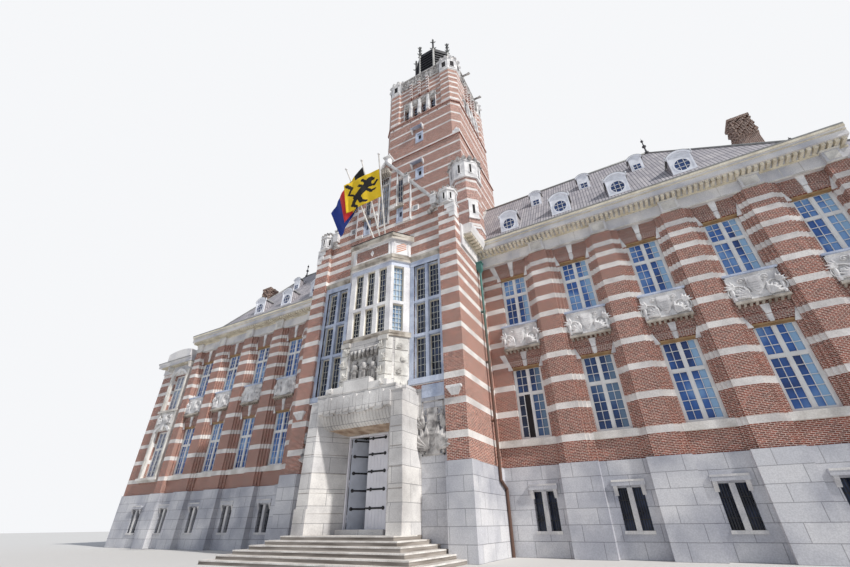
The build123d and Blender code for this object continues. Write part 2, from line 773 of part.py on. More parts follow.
def centre_side_cornice():
    """The wing entablature carried along the side of the centre block."""
    x0 = SIDE_IN_X
    y1 = -CORNICE_OUT
    y0 = CENTRE_WALL_Y + WALL_T
    band = block(x0, CENTRE_X + SILL_OUT, y0, y1, FRIEZE_Z, EAVES_Z)
    lip = CENTRE_X + SIDE_CORNICE_OUT
    slab = [(CENTRE_X, CORONA_Z), (lip - GUTTER_LIP, CORONA_Z), (lip, (CORONA_Z + EAVES_Z) / 2),
            (lip, EAVES_Z), (CENTRE_X, EAVES_Z)]
    band += prism_y(slab, SIDE_CORNICE_Y, y1)
    rear = block(x0, CENTRE_X, y1, BACK_Y - WALL_T, FRIEZE_Z, EAVES_Z)
    return band + rear


def centre_wall():
    """Front wall between the piers above the portal, with its tall windows."""
    inner = CENTRE_X - PIER_W
    wall = block(-inner, inner, CENTRE_WALL_Y, CENTRE_WALL_Y + WALL_T, PORTAL_TOP, PIER_TOP)
    for side in (-1, 1):
        x = side * (FLANK_IN + FLANK_OUT) / 2
        wall -= hole(x, FLANK_OUT - FLANK_IN, FLANK_SILL, FLANK_HEAD,
                     CENTRE_WALL_Y, CENTRE_WALL_Y + WALL_T)
    wall -= hole(0, 2 * ORIEL_HALF_W, ORIEL_LIGHT_Z, ORIEL_HEAD_Z,
                 CENTRE_WALL_Y, CENTRE_WALL_Y + WALL_T)
    return wall


def centre_wall_base():
    inner = CENTRE_X - PIER_W
    return block(PORTAL_HALF_W, inner, CENTRE_WALL_Y, CENTRE_WALL_Y + WALL_T, 0, PORTAL_TOP)


def flank_window():
    """Stone mullion and transoms of a tall window beside the oriel."""
    x = (FLANK_IN + FLANK_OUT) / 2
    w = FLANK_OUT - FLANK_IN
    y0 = CENTRE_WALL_Y + FLANK_REVEAL
    y1 = y0 + FLANK_T
    frame = block(x - w / 2, x + w / 2, y0, y1, FLANK_SILL, FLANK_HEAD)
    levels = (FLANK_SILL,) + FLANK_TRANSOMS + (FLANK_HEAD,)
    half = MULLION_W / 2
    for a, b in zip(levels[:-1], levels[1:]):
        for x0, x1 in ((x - w / 2 + 40, x - half), (x + half, x + w / 2 - 40)):
            low = a + (half if a != FLANK_SILL else 30)
            high = b - (half if b != FLANK_HEAD else 30)
            frame -= block(x0, x1, y0 - 1, y1 + 1, low, high)
    return frame


def centre_glass():
    x = (FLANK_IN + FLANK_OUT) / 2
    y = CENTRE_WALL_Y + FLANK_REVEAL + FLANK_T
    return [pane(x, FLANK_OUT - FLANK_IN, FLANK_SILL, FLANK_HEAD, y)]


def oriel_glass():
    """Glass inside the oriel's stonework, one sheet to each of its three sides."""
    outer = prism_z(oriel_outline(ORIEL_WALL, CENTRE_WALL_Y + 1), ORIEL_LIGHT_Z, ORIEL_HEAD_Z)
    inner = prism_z(oriel_outline(ORIEL_WALL + GLASS_T, CENTRE_WALL_Y + 2),
                    ORIEL_LIGHT_Z - 1, ORIEL_HEAD_Z + 1)
    room = block(-CENTRE_X, CENTRE_X, CENTRE_WALL_Y, BACK_Y, 0, ORIEL_TOP)
    return outer - inner - room


def dormer_glass():
    """Round panes in the dormers, at the back of their eyes."""
    y = DORMER_FACE_Y + DORMER_EYE_DEPTH - GLASS_T / 2
    z = roof_z(DORMER_FACE_Y) + DORMER_EYE_UP
    return [Pos(x, y, z) * Rot(90, 0, 0) * Cylinder(DORMER_EYE_R, GLASS_T)
            for x in window_xs()[:DORMERS]]


def oriel_outline(inset, back_y):
    """Half-hexagon plan of the oriel as (x, y), its three sides moved in by inset."""
    run = ORIEL_BACK_HALF_W - ORIEL_HALF_W
    deep = CENTRE_WALL_Y - ORIEL_Y
    side = (run ** 2 + deep ** 2) ** 0.5
    half = ORIEL_HALF_W - inset * (side - run) / deep
    back = half + (back_y - ORIEL_Y - inset) * run / deep
    return [(-back, back_y), (-half, ORIEL_Y + inset), (half, ORIEL_Y + inset), (back, back_y)]


def oriel_tiers():
    """Bottom and top of the lights in the two tiers."""
    half = MULLION_W / 2
    return ((ORIEL_LIGHT_Z + half, ORIEL_TRANSOM_Z - half),
            (ORIEL_TRANSOM_Z + half, ORIEL_HEAD_Z - half))


def oriel():
    """Stone oriel with mullioned lights in two tiers, cornices and a flat top."""
    y = CENTRE_WALL_Y
    run = ORIEL_BACK_HALF_W - ORIEL_HALF_W
    deep = y - ORIEL_Y
    side_w = (run ** 2 + deep ** 2) ** 0.5
    turn = degrees(atan2(deep, run))
    body = prism_z(oriel_outline(0, y), ORIEL_LIGHT_Z, ORIEL_TOP)
    body -= prism_z(oriel_outline(ORIEL_WALL, y + 1), ORIEL_LIGHT_Z, ORIEL_HEAD_Z)
    low, high = (share * side_w for share in ORIEL_SIDE_LIGHT)
    for a, b in oriel_tiers():
        for k in range(ORIEL_LIGHTS):
            x = (k - (ORIEL_LIGHTS - 1) / 2) * ORIEL_LIGHT_PITCH
            body -= hole(x, ORIEL_LIGHT_W, a, b, ORIEL_Y, ORIEL_Y + ORIEL_WALL)
        cut = block(low, high, -1, ORIEL_WALL + 1, a, b)
        right = Pos(ORIEL_HALF_W, ORIEL_Y, 0) * Rot(0, 0, turn) * cut
        body -= mirrored([right])
    for z0, z1, out in ((ORIEL_SILL_Z, ORIEL_LIGHT_Z, ORIEL_SILL_OUT),
                        ORIEL_CORNICE_Z + (ORIEL_SILL_OUT,),
                        (ORIEL_PARAPET_Z, ORIEL_TOP, ORIEL_TOP_OUT)):
        body += prism_z(oriel_outline(-out, y), z0, z1)
    return body


def oriel_base():
    """Canted stone base of the oriel, with a recess for the relief."""
    y = CENTRE_WALL_Y
    outline = [(-ORIEL_BASE_BACK_HALF_W, y), (-ORIEL_BASE_HALF_W, ORIEL_BASE_Y),
               (ORIEL_BASE_HALF_W, ORIEL_BASE_Y), (ORIEL_BASE_BACK_HALF_W, y)]
    base = prism_z(outline, PORTAL_TOP, ORIEL_SILL_Z)
    z0, z1 = RELIEF_Z
    return base - block(-RELIEF_HALF_W, RELIEF_HALF_W, ORIEL_BASE_Y - 1,
                        ORIEL_BASE_Y + RELIEF_DEPTH, z0, z1)


def portal_mass():
    """The whole portal as one battered, tiered mass with its splayed doorway cut out."""
    back = CENTRE_WALL_Y + WALL_T

    def outline(half, z):
        points = [(-half, PORTAL_Y), (half, PORTAL_Y), (half, back), (-half, back)]
        return make_face(Polyline(*[(x, y, z) for x, y in points], close=True))
    mass = loft([outline(PORTAL_HALF_W, LANDING_Z), outline(PORTAL_TOP_HALF_W, BUTTRESS_TOP)])
    mass += block(-PORTAL_HALF_W, PORTAL_HALF_W, CENTRE_WALL_Y, back, LANDING_Z, PORTAL_TOP)
    for half, y in PORTAL_TIERS:
        mass += block(-half, half, y, back, BUTTRESS_TOP, PORTAL_TOP)

    def mouth(half, head, y):
        points = [(-half, LANDING_Z), (half, LANDING_Z), (half, head), (-half, head)]
        return make_face(Polyline(*[(x, y, z) for x, z in points], close=True))
    mass -= loft([mouth(PORTAL_MOUTH_HALF_W, PORTAL_MOUTH_HEAD, PORTAL_Y),
                  mouth(DOOR_HALF_W, DOOR_HEAD, DOOR_Y)])
    return mass - block(-DOOR_HALF_W, DOOR_HALF_W, DOOR_Y, back + 1, LANDING_Z, DOOR_HEAD)


def portal_jamb():
    """Right jamb up to the head of the door, with the plain block at its foot."""
    limits = block(DOOR_HALF_W - 1, PORTAL_HALF_W + 1, PORTAL_Y - 1, 0, LANDING_Z, DOOR_HEAD)
    foot = block(PORTAL_MOUTH_HALF_W, PORTAL_HALF_W, PORTAL_Y - PORTAL_FOOT_OUT,
                 PORTAL_Y + PORTAL_FOOT_OUT, LANDING_Z, PORTAL_FOOT_TOP)
    return (portal_mass() & limits) + foot


def portal_lintel():
    """Lintel, tiers and crest over the door, with the dropped stones of its flat arch."""
    lintel = portal_mass() - block(-BAY, BAY, -BAY * 2, BAY, 0, DOOR_HEAD)
    width = 2 * PORTAL_MOUTH_HALF_W / VOUSSOIRS
    for k in range(VOUSSOIRS):
        x = width * k - PORTAL_MOUTH_HALF_W
        low = PORTAL_MOUTH_HEAD - VOUSSOIR_DROP * (k % 2)
        lintel += block(x, x + width, PORTAL_Y - PORTAL_FOOT_OUT, PORTAL_Y + PORTAL_FOOT_OUT,
                        low, low + VOUSSOIR_H)
    for half, top in PORTAL_CREST:
        lintel += block(-half, half, PORTAL_Y, ORIEL_BASE_Y, PORTAL_TOP, top)
    return lintel


def entrance_steps():
    """Landing and steps that wrap round the portal on three sides."""
    flight = None
    for k in range(RISERS):
        half = LANDING_HALF_W + TREAD * k
        top = LANDING_Z - RISER * k
        slab = block(-half, half, LANDING_Y - TREAD * k, CENTRE_WALL_Y, 0, top)
        flight = slab if flight is None else flight + slab
    flight += block(-PORTAL_HALF_W, PORTAL_HALF_W, CENTRE_WALL_Y, CENTRE_WALL_Y + WALL_T,
                    0, LANDING_Z)
    for base in mirrored([pier_base()]):
        flight -= base
    return flight


def door_frame():
    """Posts and head round the leaves, with the fixed halves of the hinges."""
    y0 = LEAF_Y0 - 30
    y1 = LEAF_Y1
    outer = block(-DOOR_HALF_W, DOOR_HALF_W, y0, y1, LANDING_Z, DOOR_HEAD)
    inner = DOOR_HALF_W - FRAME_POST
    frame = outer - block(-inner, inner, y0 - 1, y1 + 1, LANDING_Z - 1, DOOR_HEAD - FRAME_POST)
    for side in (-1, 1):
        for z in HINGE_LEVELS:
            x = side * HINGE_X
            frame += Pos(x, HINGE_Y, z) * Cylinder(PIN_R, KNUCKLE_H * 3)
            for dz in (-KNUCKLE_H, KNUCKLE_H):
                frame += Pos(x, HINGE_Y, z + dz) * Cylinder(HINGE_R, KNUCKLE_H - 1)
                plate = block(min(x, side * (DOOR_HALF_W - 6)), max(x, side * (DOOR_HALF_W - 6)),
                              y1, y1 + 8, z + dz - KNUCKLE_H / 2 + 0.5, z + dz + KNUCKLE_H / 2 - 0.5)
                frame += plate
    return frame


def door_leaf():
    """The right leaf, closed, with the moving knuckles of its hinges."""
    bottom = LANDING_Z + LEAF_GAP
    top = DOOR_HEAD - FRAME_POST - LEAF_GAP
    leaf = block(MEETING_GAP, LEAF_EDGE_X, LEAF_Y0, LEAF_Y1, bottom, top)
    for z in HINGE_LEVELS:
        leaf += block(LEAF_EDGE_X - 110, HINGE_X, LEAF_Y1, LEAF_Y1 + 8,
                      z - KNUCKLE_H / 2 + 0.5, z + KNUCKLE_H / 2 - 0.5)
        leaf += Pos(HINGE_X, HINGE_Y, z) * Cylinder(HINGE_R, KNUCKLE_H - 1)
        leaf -= Pos(HINGE_X, HINGE_Y, z) * Cylinder(PIN_R + PIN_CLEARANCE, KNUCKLE_H)
    return leaf


def leaf_straps():
    """Iron straps on the street side of the right leaf."""
    pieces = []
    for z in STRAP_LEVELS:
        x1 = LEAF_EDGE_X - 20
        x0 = x1 - STRAP_L
        strap = block(x0, x1, LEAF_Y0 - STRAP_T, LEAF_Y0, z - STRAP_H / 2, z + STRAP_H / 2)
        for x in (x0, x0 + STRAP_L * 0.62):
            strap += Pos(x, LEAF_Y0 - STRAP_T / 2, z) * Rot(90, 0, 0) * Cylinder(52, STRAP_T)
        pieces.append(strap)
    return pieces


def hung_left(shape):
    """A right-hand door piece as the left-hand one, swung open as it stands."""
    flipped = mirror(shape, about=Plane.YZ)
    hinge = Pos(-HINGE_X, HINGE_Y, 0)
    return hinge * Rot(0, 0, LEFT_LEAF_OPEN) * hinge.inverse() * flipped


def gable():
    """Street gable with its tall window, two small ones and brick strips."""
    inner = CENTRE_X - PIER_W
    y0 = CENTRE_WALL_Y
    outline = [(-inner, PIER_TOP), (inner, PIER_TOP), (KNEELER_X, KNEELER_Z),
               (0, GABLE_APEX), (-KNEELER_X, KNEELER_Z)]
    wall = prism_y(outline, y0, y0 + WALL_T)
    slope = (GABLE_APEX - KNEELER_Z) / KNEELER_X
    for x0, x1, z in GABLE_STRIPS:
        strip = [(x0, z), (x1, z), (x1, GABLE_APEX - slope * x1), (x0, GABLE_APEX - slope * x0)]
        for piece in mirrored([prism_y(strip, y0 - GABLE_STRIP_OUT, y0)]):
            wall += piece
    wall -= hole(0, GABLE_WINDOW_W, GABLE_WINDOW_SILL, GABLE_WINDOW_HEAD, y0,
                 y0 + GABLE_WINDOW_DEPTH)
    low, high = GABLE_SIDE_WINDOW_Z
    for side in (-1, 1):
        wall -= hole(side * GABLE_SIDE_WINDOW_X, GABLE_SIDE_WINDOW_W, low, high, y0,
                     y0 + GABLE_WINDOW_DEPTH)
    return wall


def gable_coping():
    """Raking stones on the gable, with kneelers and an apex stone."""
    y0 = CENTRE_WALL_Y - COPING_OVER
    y1 = CENTRE_WALL_Y + WALL_T + COPING_OVER
    slope = (GABLE_APEX - KNEELER_Z) / KNEELER_X
    lift = COPING_T * (1 + slope ** 2) ** 0.5
    apex = GABLE_APEX + lift
    outline = [(KNEELER_X, KNEELER_Z), (0, GABLE_APEX), (-KNEELER_X, KNEELER_Z),
               (-KNEELER_X, KNEELER_Z + lift), (0, apex), (KNEELER_X, KNEELER_Z + lift)]
    stone = octagon(0, (y0 + y1) / 2, APEX_STONE_R, apex - APEX_STONE_R, apex + APEX_STONE_H)
    return prism_y(outline, y0, y1) + stone


def centre_roofs():
    """Pitched roofs before and behind the tower, as shells on the side walls."""
    foot = CENTRE_X
    slope = (CENTRE_RIDGE - EAVES_Z) / foot
    drop = ROOF_T * (1 + slope ** 2) ** 0.5
    outer = [(-foot, EAVES_Z), (0, CENTRE_RIDGE), (foot, EAVES_Z)]
    inner_foot = foot - drop / slope
    inner = [(-inner_foot, EAVES_Z), (0, CENTRE_RIDGE - drop), (inner_foot, EAVES_Z)]
    front = (CENTRE_WALL_Y + WALL_T, TOWER_Y)
    rear = (TOWER_BACK_Y, BACK_Y)
    shells = []
    for y0, y1 in (front, rear):
        shells.append(prism_y(outer, y0, y1) - prism_y(inner, y0 - 1, y1 + 1))
    return shells


def rear_gable():
    foot = CENTRE_X
    slope = (CENTRE_RIDGE - EAVES_Z) / foot
    drop = ROOF_T * (1 + slope ** 2) ** 0.5
    inner_foot = foot - drop / slope
    points = [(-inner_foot, EAVES_Z), (0, CENTRE_RIDGE - drop), (inner_foot, EAVES_Z)]
    return prism_y(points, BACK_Y - WALL_T, BACK_Y)


def tower_square(half, z0, z1):
    """A square solid on the axis of the tower."""
    return block(-half, half, TOWER_MID_Y - half, TOWER_MID_Y + half, z0, z1)


def tower_chamfered(half, z0, z1):
    """The same with its corners cut off."""
    c = half - STAGE_CHAMFER
    ring = [(c, -half), (half, -c), (half, c), (c, half), (-c, half), (-half, c), (-half, -c),
            (-c, -half)]
    return Pos(0, TOWER_MID_Y, 0) * prism_z(ring, z0, z1)


def tower_window(z):
    return hole(0, TOWER_WINDOW_W, z - TOWER_WINDOW_H / 2, z + TOWER_WINDOW_H / 2,
                TOWER_Y, TOWER_Y + SHAFT_T)


def tower_shaft():
    """Square shaft up to its ledge, with doorways through to the hall."""
    shaft = tower_square(SHAFT_HALF_W, 0, SHAFT_TOP)
    shaft += tower_square(SHAFT_HALF_W + SHAFT_LEDGE_OUT, SHAFT_TOP - SHAFT_LEDGE_H, SHAFT_TOP)
    shaft -= tower_square(TOWER_IN, -1, SHAFT_TOP + 1)
    shaft -= block(-TOWER_DOOR_HALF_W, TOWER_DOOR_HALF_W, TOWER_Y - 1, TOWER_BACK_Y + 1,
                   LANDING_Z, DOOR_HEAD)
    return shaft - tower_window(SHAFT_WINDOW_Z)


def tower_stage():
    """Upper stage with cut corners, closed by a string course."""
    stage = tower_chamfered(SHAFT_HALF_W, SHAFT_TOP, STAGE_TOP)
    stage += tower_chamfered(SHAFT_HALF_W + STRING_OUT, STAGE_TOP - STRING_H, STAGE_TOP)
    stage -= tower_square(TOWER_IN, SHAFT_TOP - 1, STAGE_TOP + 1)
    return stage - tower_window(STAGE_WINDOW_Z)


def turret_offset():
    """Distance of a corner turret from the axis of the tower, along X and along Y."""
    return SHAFT_HALF_W - CORNER_TURRET_R * cos(radians(22.5))


def between_turrets(half, z0, z1):
    """A cross on the axis of the tower that leaves its corners to the turrets."""
    c = turret_offset()
    return (block(-c, c, TOWER_MID_Y - half, TOWER_MID_Y + half, z0, z1)
            + block(-half, half, TOWER_MID_Y - c, TOWER_MID_Y + c, z0, z1))


def tower_belfry():
    """Belfry walls with four mullioned lights to each side."""
    half = BELFRY_HALF_W
    walls = between_turrets(half, STAGE_TOP, BELFRY_TOP)
    walls -= tower_square(half - BELFRY_T, STAGE_TOP - 1, BELFRY_TOP + 1)
    for k in range(BELFRY_LIGHTS):
        x = (k - (BELFRY_LIGHTS - 1) / 2) * BELFRY_LIGHT_PITCH
        slot = hole(x, BELFRY_LIGHT_W, BELFRY_SILL, BELFRY_HEAD, -half, half)
        walls -= Pos(0, TOWER_MID_Y, 0) * slot
        walls -= Pos(0, TOWER_MID_Y, 0) * Rot(0, 0, 90) * slot
    walls += tower_parapet()
    for corner in tower_corners():
        walls -= corner
    return walls


def tower_corners():
    """Octagonal turrets flush with the corners of the belfry, cut back to its room."""
    room = tower_square(BELFRY_HALF_W - BELFRY_T, STAGE_TOP - 1, BELFRY_TOP + DECK_T)
    return [octagon(x, y, CORNER_TURRET_R, STAGE_TOP, CORNER_TURRET_TOP) - room
            for x, y in corner_places()]


def corner_places():
    c = turret_offset()
    return [(sx * c, TOWER_MID_Y + sy * c) for sx in (-1, 1) for sy in (-1, 1)]


def tower_turrets():
    """The corner turrets with their rims and pointed domes."""
    r = CORNER_TURRET_R
    top = CORNER_TURRET_TOP
    return [shaft + octagon(x, y, r + CORNER_RIM_OUT, top, top + CORNER_RIM_H)
            + dome(x, y, r, top + CORNER_RIM_H, top + CORNER_CAP_H)
            for shaft, (x, y) in zip(tower_corners(), corner_places())]


def tower_parapet():
    """Parapet over the belfry and the deck behind it."""
    half = BELFRY_HALF_W
    walls = between_turrets(half, BELFRY_TOP, PARAPET_TOP)
    walls -= tower_square(half - PARAPET_T, BELFRY_TOP - 1, PARAPET_TOP + 1)
    return walls + tower_square(half - PARAPET_T, BELFRY_TOP, BELFRY_TOP + DECK_T)


def tower_lantern():
    """Dark octagonal lantern with corner posts that end in finials."""
    y = TOWER_MID_Y
    z0 = BELFRY_TOP + DECK_T
    drum = octagon(0, y, LANTERN_R, z0, LANTERN_TOP)
    drum -= octagon(0, y, LANTERN_R - LANTERN_WALL, z0 - 1, LANTERN_TOP - LANTERN_WALL)
    reach = LANTERN_R - LANTERN_POST_R / 4
    for k in range(8):
        a = radians(22.5 + 45 * k)
        post = Cylinder(LANTERN_POST_R, FINIAL_TOP - z0)
        drum += Pos(reach * cos(a), y + reach * sin(a), (z0 + FINIAL_TOP) / 2) * post
    return drum


def stair_turret():
    """Octagonal stair turret at the front corner of the tower, with a pale top stage."""
    x = STAIR_TURRET_X
    y = STAIR_TURRET_Y
    r = STAIR_TURRET_R
    top = STAIR_TURRET_TOP
    shaft = octagon(x, y, r, STAIR_TURRET_FOOT, top)
    shaft += octagon(x, y, r + STAIR_STAGE_OUT, top - STAIR_STAGE_H, top)
    shaft += dome(x, y, r, top, top + STAIR_CAP_H)
    shaft -= tower_square(SHAFT_HALF_W, 0, SHAFT_TOP)
    shaft -= roof_solid(0)
    return shaft - centre_roof_solid(CENTRE_WALL_Y, TOWER_Y)


def pole_frames():
    """For each pole a plane whose z runs up the pole and whose x points to the right."""
    frames = []
    for x, fan in zip(POLE_XS, POLE_FANS):
        up = Vector(0, 0, 1).rotate(Axis.Y, fan).rotate(Axis.X, POLE_LEAN)
        across = Vector(1, 0, 0).rotate(Axis.Y, fan)
        frames.append(Plane(origin=(x, POLE_Y, ORIEL_TOP), x_dir=across, z_dir=up))
    return frames


def flagpoles():
    """Three slender poles that fan out and lean out from the top of the oriel."""
    ground = Align.CENTER, Align.CENTER, Align.MIN
    start = POLE_R * 2
    below = block(-CENTRE_X, CENTRE_X, PORTAL_Y, CENTRE_WALL_Y + WALL_T, 0, ORIEL_TOP)
    return [frame * Pos(0, 0, -start) * Cylinder(POLE_R, POLE_L + start, align=ground) - below
            for frame in pole_frames()]


def downpipe():
    """Copper pipe beside the centre block, with its hopper, clips and a bend at the plinth."""
    x = CENTRE_X + PLINTH_OUT + PIPE_R + PIPE_GAP
    low, high = PIPE_JOG_Z
    path = Polyline((x, PIPE_FOOT_Y, 0), (x, PIPE_FOOT_Y, low), (x, PIPE_Y, high),
                    (x, PIPE_Y, FRIEZE_Z))
    foot = Pos(x, PIPE_FOOT_Y, 0) * Circle(PIPE_R)
    pipe = sweep(foot, path=path, transition=Transition.RIGHT)
    for z in PIPE_CLIP_ZS:
        pipe += block(CENTRE_X, x, PIPE_Y - PIPE_R, PIPE_Y + PIPE_R, z, z + PIPE_CLIP_H)
    half = HOPPER_W / 2
    return pipe + block(CENTRE_X, x + half, PIPE_Y - half, PIPE_Y + half,
                        FRIEZE_Z - HOPPER_H, FRIEZE_Z)


def centre_floors():
    """Entrance hall floor and the floor above it, clear of the tower walls."""
    y0 = CENTRE_WALL_Y + WALL_T
    x = SIDE_IN_X
    pieces = [block(-x, x, y0, TOWER_Y, 0, FLOOR_T)]
    for top in (LANDING_Z, CENTRE_FLOOR_Z):
        pieces.append(block(-x, x, y0, TOWER_Y, top - FLOOR_T, top))
        pieces.append(tower_square(TOWER_IN, top - FLOOR_T, top))
        pieces.append(block(-x, x, TOWER_BACK_Y, BACK_Y - WALL_T, top - FLOOR_T, top))
    return pieces


def flags():
    """Three flags on the poles, each one plain sheet where the cloth flies."""
    hoist = Align.MAX, Align.CENTER, Align.MIN
    off = POLE_R + FLAG_CLEARANCE
    return [frame * Rot(0, 0, FLAG_SWING) * Pos(-off, 0, foot)
            * Box(FLAG_L, FLAG_T, FLAG_H, align=hoist)
            for frame, foot in zip(pole_frames(), FLAG_FEET)]


def save(name, shapes):
    solids = [s for shape in shapes for s in shape.solids()]
    export_step(Compound(label=name, children=solids), os.path.join("parts", name + ".step"))


def main():
    os.makedirs("parts", exist_ok=True)
    save("wing_front_walls", mirrored([front_wall()]))
    save("wing_front_plinths", mirrored([front_plinth()]))
    save("wing_pilasters", mirrored(pilasters()))
    save("wing_cornices", mirrored([wing_cornice()]))
    save("wing_roofs", mirrored([wing_roof()]))
    save("end_plinths", mirrored([end_wall(0, PLINTH_TOP, PLINTH_OUT)]))
    save("end_walls", mirrored([end_wall_brick()]))
    save("end_entablatures", mirrored([end_entablature()]))
    save("back_plinth", [back_plinth()])
    save("back_wall", [back_wall()])
    save("back_entablature", [back_entablature()])
    save("wing_floors", mirrored(wing_floors()))
    save("centre_floors", centre_floors())
    save("sill_courses", mirrored(sill_courses()))
    save("relief_panels", mirrored(relief_panels()))
    save("end_bay_surrounds", mirrored([end_surround()]))
    save("front_window_frames", mirrored(wing_frames()))
    save("front_window_glass", mirrored(wing_glass() + centre_glass() + dormer_glass())
         + [oriel_glass()])
    save("rear_window_frames", rear_frames() + mirrored(end_frames()))
    save("rear_window_glass", mirrored(rear_glass() + end_glass()) + middle_rear_glass())
    save("dormers", mirrored(dormers()))
    save("chimneys", mirrored(chimneys()))
    save("corner_piers", mirrored([corner_pier()]))
    save("pier_bases", mirrored([pier_base()]))
    save("pinnacles", mirrored([pinnacle()]))
    save("centre_side_walls", mirrored([centre_side_wall()]))
    save("centre_plinths", mirrored([centre_side_plinth(), centre_wall_base()]))
    save("centre_side_cornices", mirrored([centre_side_cornice()]))
    save("centre_front_wall", [centre_wall()])
    save("flank_windows", mirrored([flank_window()]))
    save("oriel", [oriel()])
    save("oriel_base", [oriel_base()])
    save("portal_jambs", mirrored([portal_jamb()]))
    save("portal_lintel", [portal_lintel()])
    save("entrance_steps", [entrance_steps()])
    save("door_frame", [door_frame()])
    save("right_door_leaf", [door_leaf()])
    save("left_door_leaf", [hung_left(door_leaf())])
    save("right_leaf_straps", leaf_straps())
    save("left_leaf_straps", [hung_left(s) for s in leaf_straps()])
    save("gables", [gable(), rear_gable()])
    save("gable_coping", [gable_coping()])
    save("centre_roofs", centre_roofs())
    save("tower_shaft", [tower_shaft()])
    save("tower_stage", [tower_stage()])
    save("tower_belfry", [tower_belfry()])
    save("tower_turrets", tower_turrets())
    save("tower_lantern", [tower_lantern()])
    save("stair_turrets", mirrored([stair_turret()]))
    save("flagpoles", flagpoles())
    save("flags", flags())
    save("downpipes", mirrored([downpipe()]))


main()
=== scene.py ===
import bmesh
import bpy
from math import atan2, cos, degrees, pi, radians, sin, sqrt
from mathutils import Matrix, Vector


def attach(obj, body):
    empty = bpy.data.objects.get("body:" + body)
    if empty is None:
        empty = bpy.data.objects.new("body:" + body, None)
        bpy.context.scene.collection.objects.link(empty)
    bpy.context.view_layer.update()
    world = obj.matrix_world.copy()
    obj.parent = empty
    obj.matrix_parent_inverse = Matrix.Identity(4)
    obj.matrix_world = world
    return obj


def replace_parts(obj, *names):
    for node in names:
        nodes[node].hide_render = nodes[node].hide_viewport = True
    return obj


# The looks of a brick and limestone courthouse, a 1:2 scale model, in metres.
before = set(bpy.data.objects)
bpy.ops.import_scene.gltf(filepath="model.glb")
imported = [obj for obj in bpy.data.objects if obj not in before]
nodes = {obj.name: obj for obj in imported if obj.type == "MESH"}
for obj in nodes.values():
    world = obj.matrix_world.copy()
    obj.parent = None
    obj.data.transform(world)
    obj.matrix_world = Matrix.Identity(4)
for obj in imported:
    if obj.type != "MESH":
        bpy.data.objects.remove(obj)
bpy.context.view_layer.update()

# Camera, as the photographer stood
CAMERA_PLACE = (7.260, -11.965, 0.735)
CAMERA_LEFT = radians(28.9)
CAMERA_UP = radians(31.59)
CAMERA_ROLL = radians(-0.70)
LENS = 16.64

# Brickwork and stonework
COURSE = 0.0375
BRICK_L = 0.11
BAND_H = 0.175
WING_BANDS = (2.625, 3.487, 4.267, 5.015, 5.744, 6.403, 6.995, 7.535, 8.010, 8.385)
CENTRE_BANDS = (2.630, 3.484, 4.204, 4.968, 5.687, 6.314, 6.900, 7.440, 7.893, 8.304, 8.795,
                9.305, 9.720, 10.110, 10.590, 11.020, 11.560, 12.010, 12.550, 13.060, 13.550)
TOWER_BANDS = (14.60, 15.36, 16.27, 16.91, 17.72, 18.33, 19.60, 20.33, 21.09)
TURRET_BANDS = (21.66, 22.17, 22.74, 23.25, 23.74, 24.18, 24.60,
                25.76, 25.90, 26.04, 26.18, 26.32, 26.46, 26.60)
STAIR_BANDS = (10.60, 11.20, 11.90, 12.55, 13.20, 13.70)

# Places that the CAD gives, for the pieces that dress it
CENTRE_X = 3.14
CENTRE_Y = -2.20
BAY = 2.10
WINDOW_XS = tuple(4.24 + BAY * k for k in range(5))
WINDOW_W = 0.90
PILASTERS = tuple((5.29 + BAY * k, 0.62) for k in range(4)) + ((13.43, 0.48),)
LOWER = (2.820, 4.995)
UPPER = (6.455, 8.335)
END_UPPER = (6.030, 7.960)
END_BAY_X = 14.80
END_WINDOW_W = 1.06
END_WINDOW_YS = (1.155, 3.465, 5.775)
WING_END_X = 16.55
WING_CORNICE_END_X = 13.85
BACK_Y = 6.93
FRIEZE_Z = 8.92
FRIEZE_TOP = 9.38
CORONA_Z = 9.48
EAVES_Z = 9.85
END_EAVES_Z = 8.80
PANEL_W = 1.16
PANEL_FOOT = 5.575
PANEL_TOP = 6.345
CELLAR = (0.57, 1.47)
CELLAR_W = 0.25
CELLAR_GAP = 0.11
ROOF_FOOT_Y = -0.04
ROOF_RUN = BACK_Y / 2 - ROOF_FOOT_Y
RIDGE_Z = 14.90
ROOF_SLOPE = (RIDGE_Z - EAVES_Z) / ROOF_RUN
DORMER_Y = 0.78
SMALL_DORMER_Y = 2.15
TOWER_Y = 0.74
TOWER_MID = 3.16
TOWER_HALF = 2.42
BELFRY_Y = -2.33
OCTAGON_FLAT = cos(radians(22.5))
CHIMNEY_X = 13.55
FLANK_TRANSOMS = (5.80, 7.015)
ORIEL_TIERS = ((5.965, 6.920), (7.030, 8.395))
HINGE = (0.657, -2.185)
LEFT_LEAF_OPEN = 50
STRAP_LEVELS = (1.13, 1.57, 2.01, 2.45, 2.87)


def roof_z(y):
    """Height of the front slope of the main roof."""
    return EAVES_Z + ROOF_SLOPE * (y - ROOF_FOOT_Y)


def linear(r, g, b):
    """An 8-bit colour as the photograph shows it, in linear values."""
    def one(v):
        v /= 255
        return v / 12.92 if v <= 0.04045 else ((v + 0.055) / 1.055) ** 2.4
    return one(r), one(g), one(b), 1.0


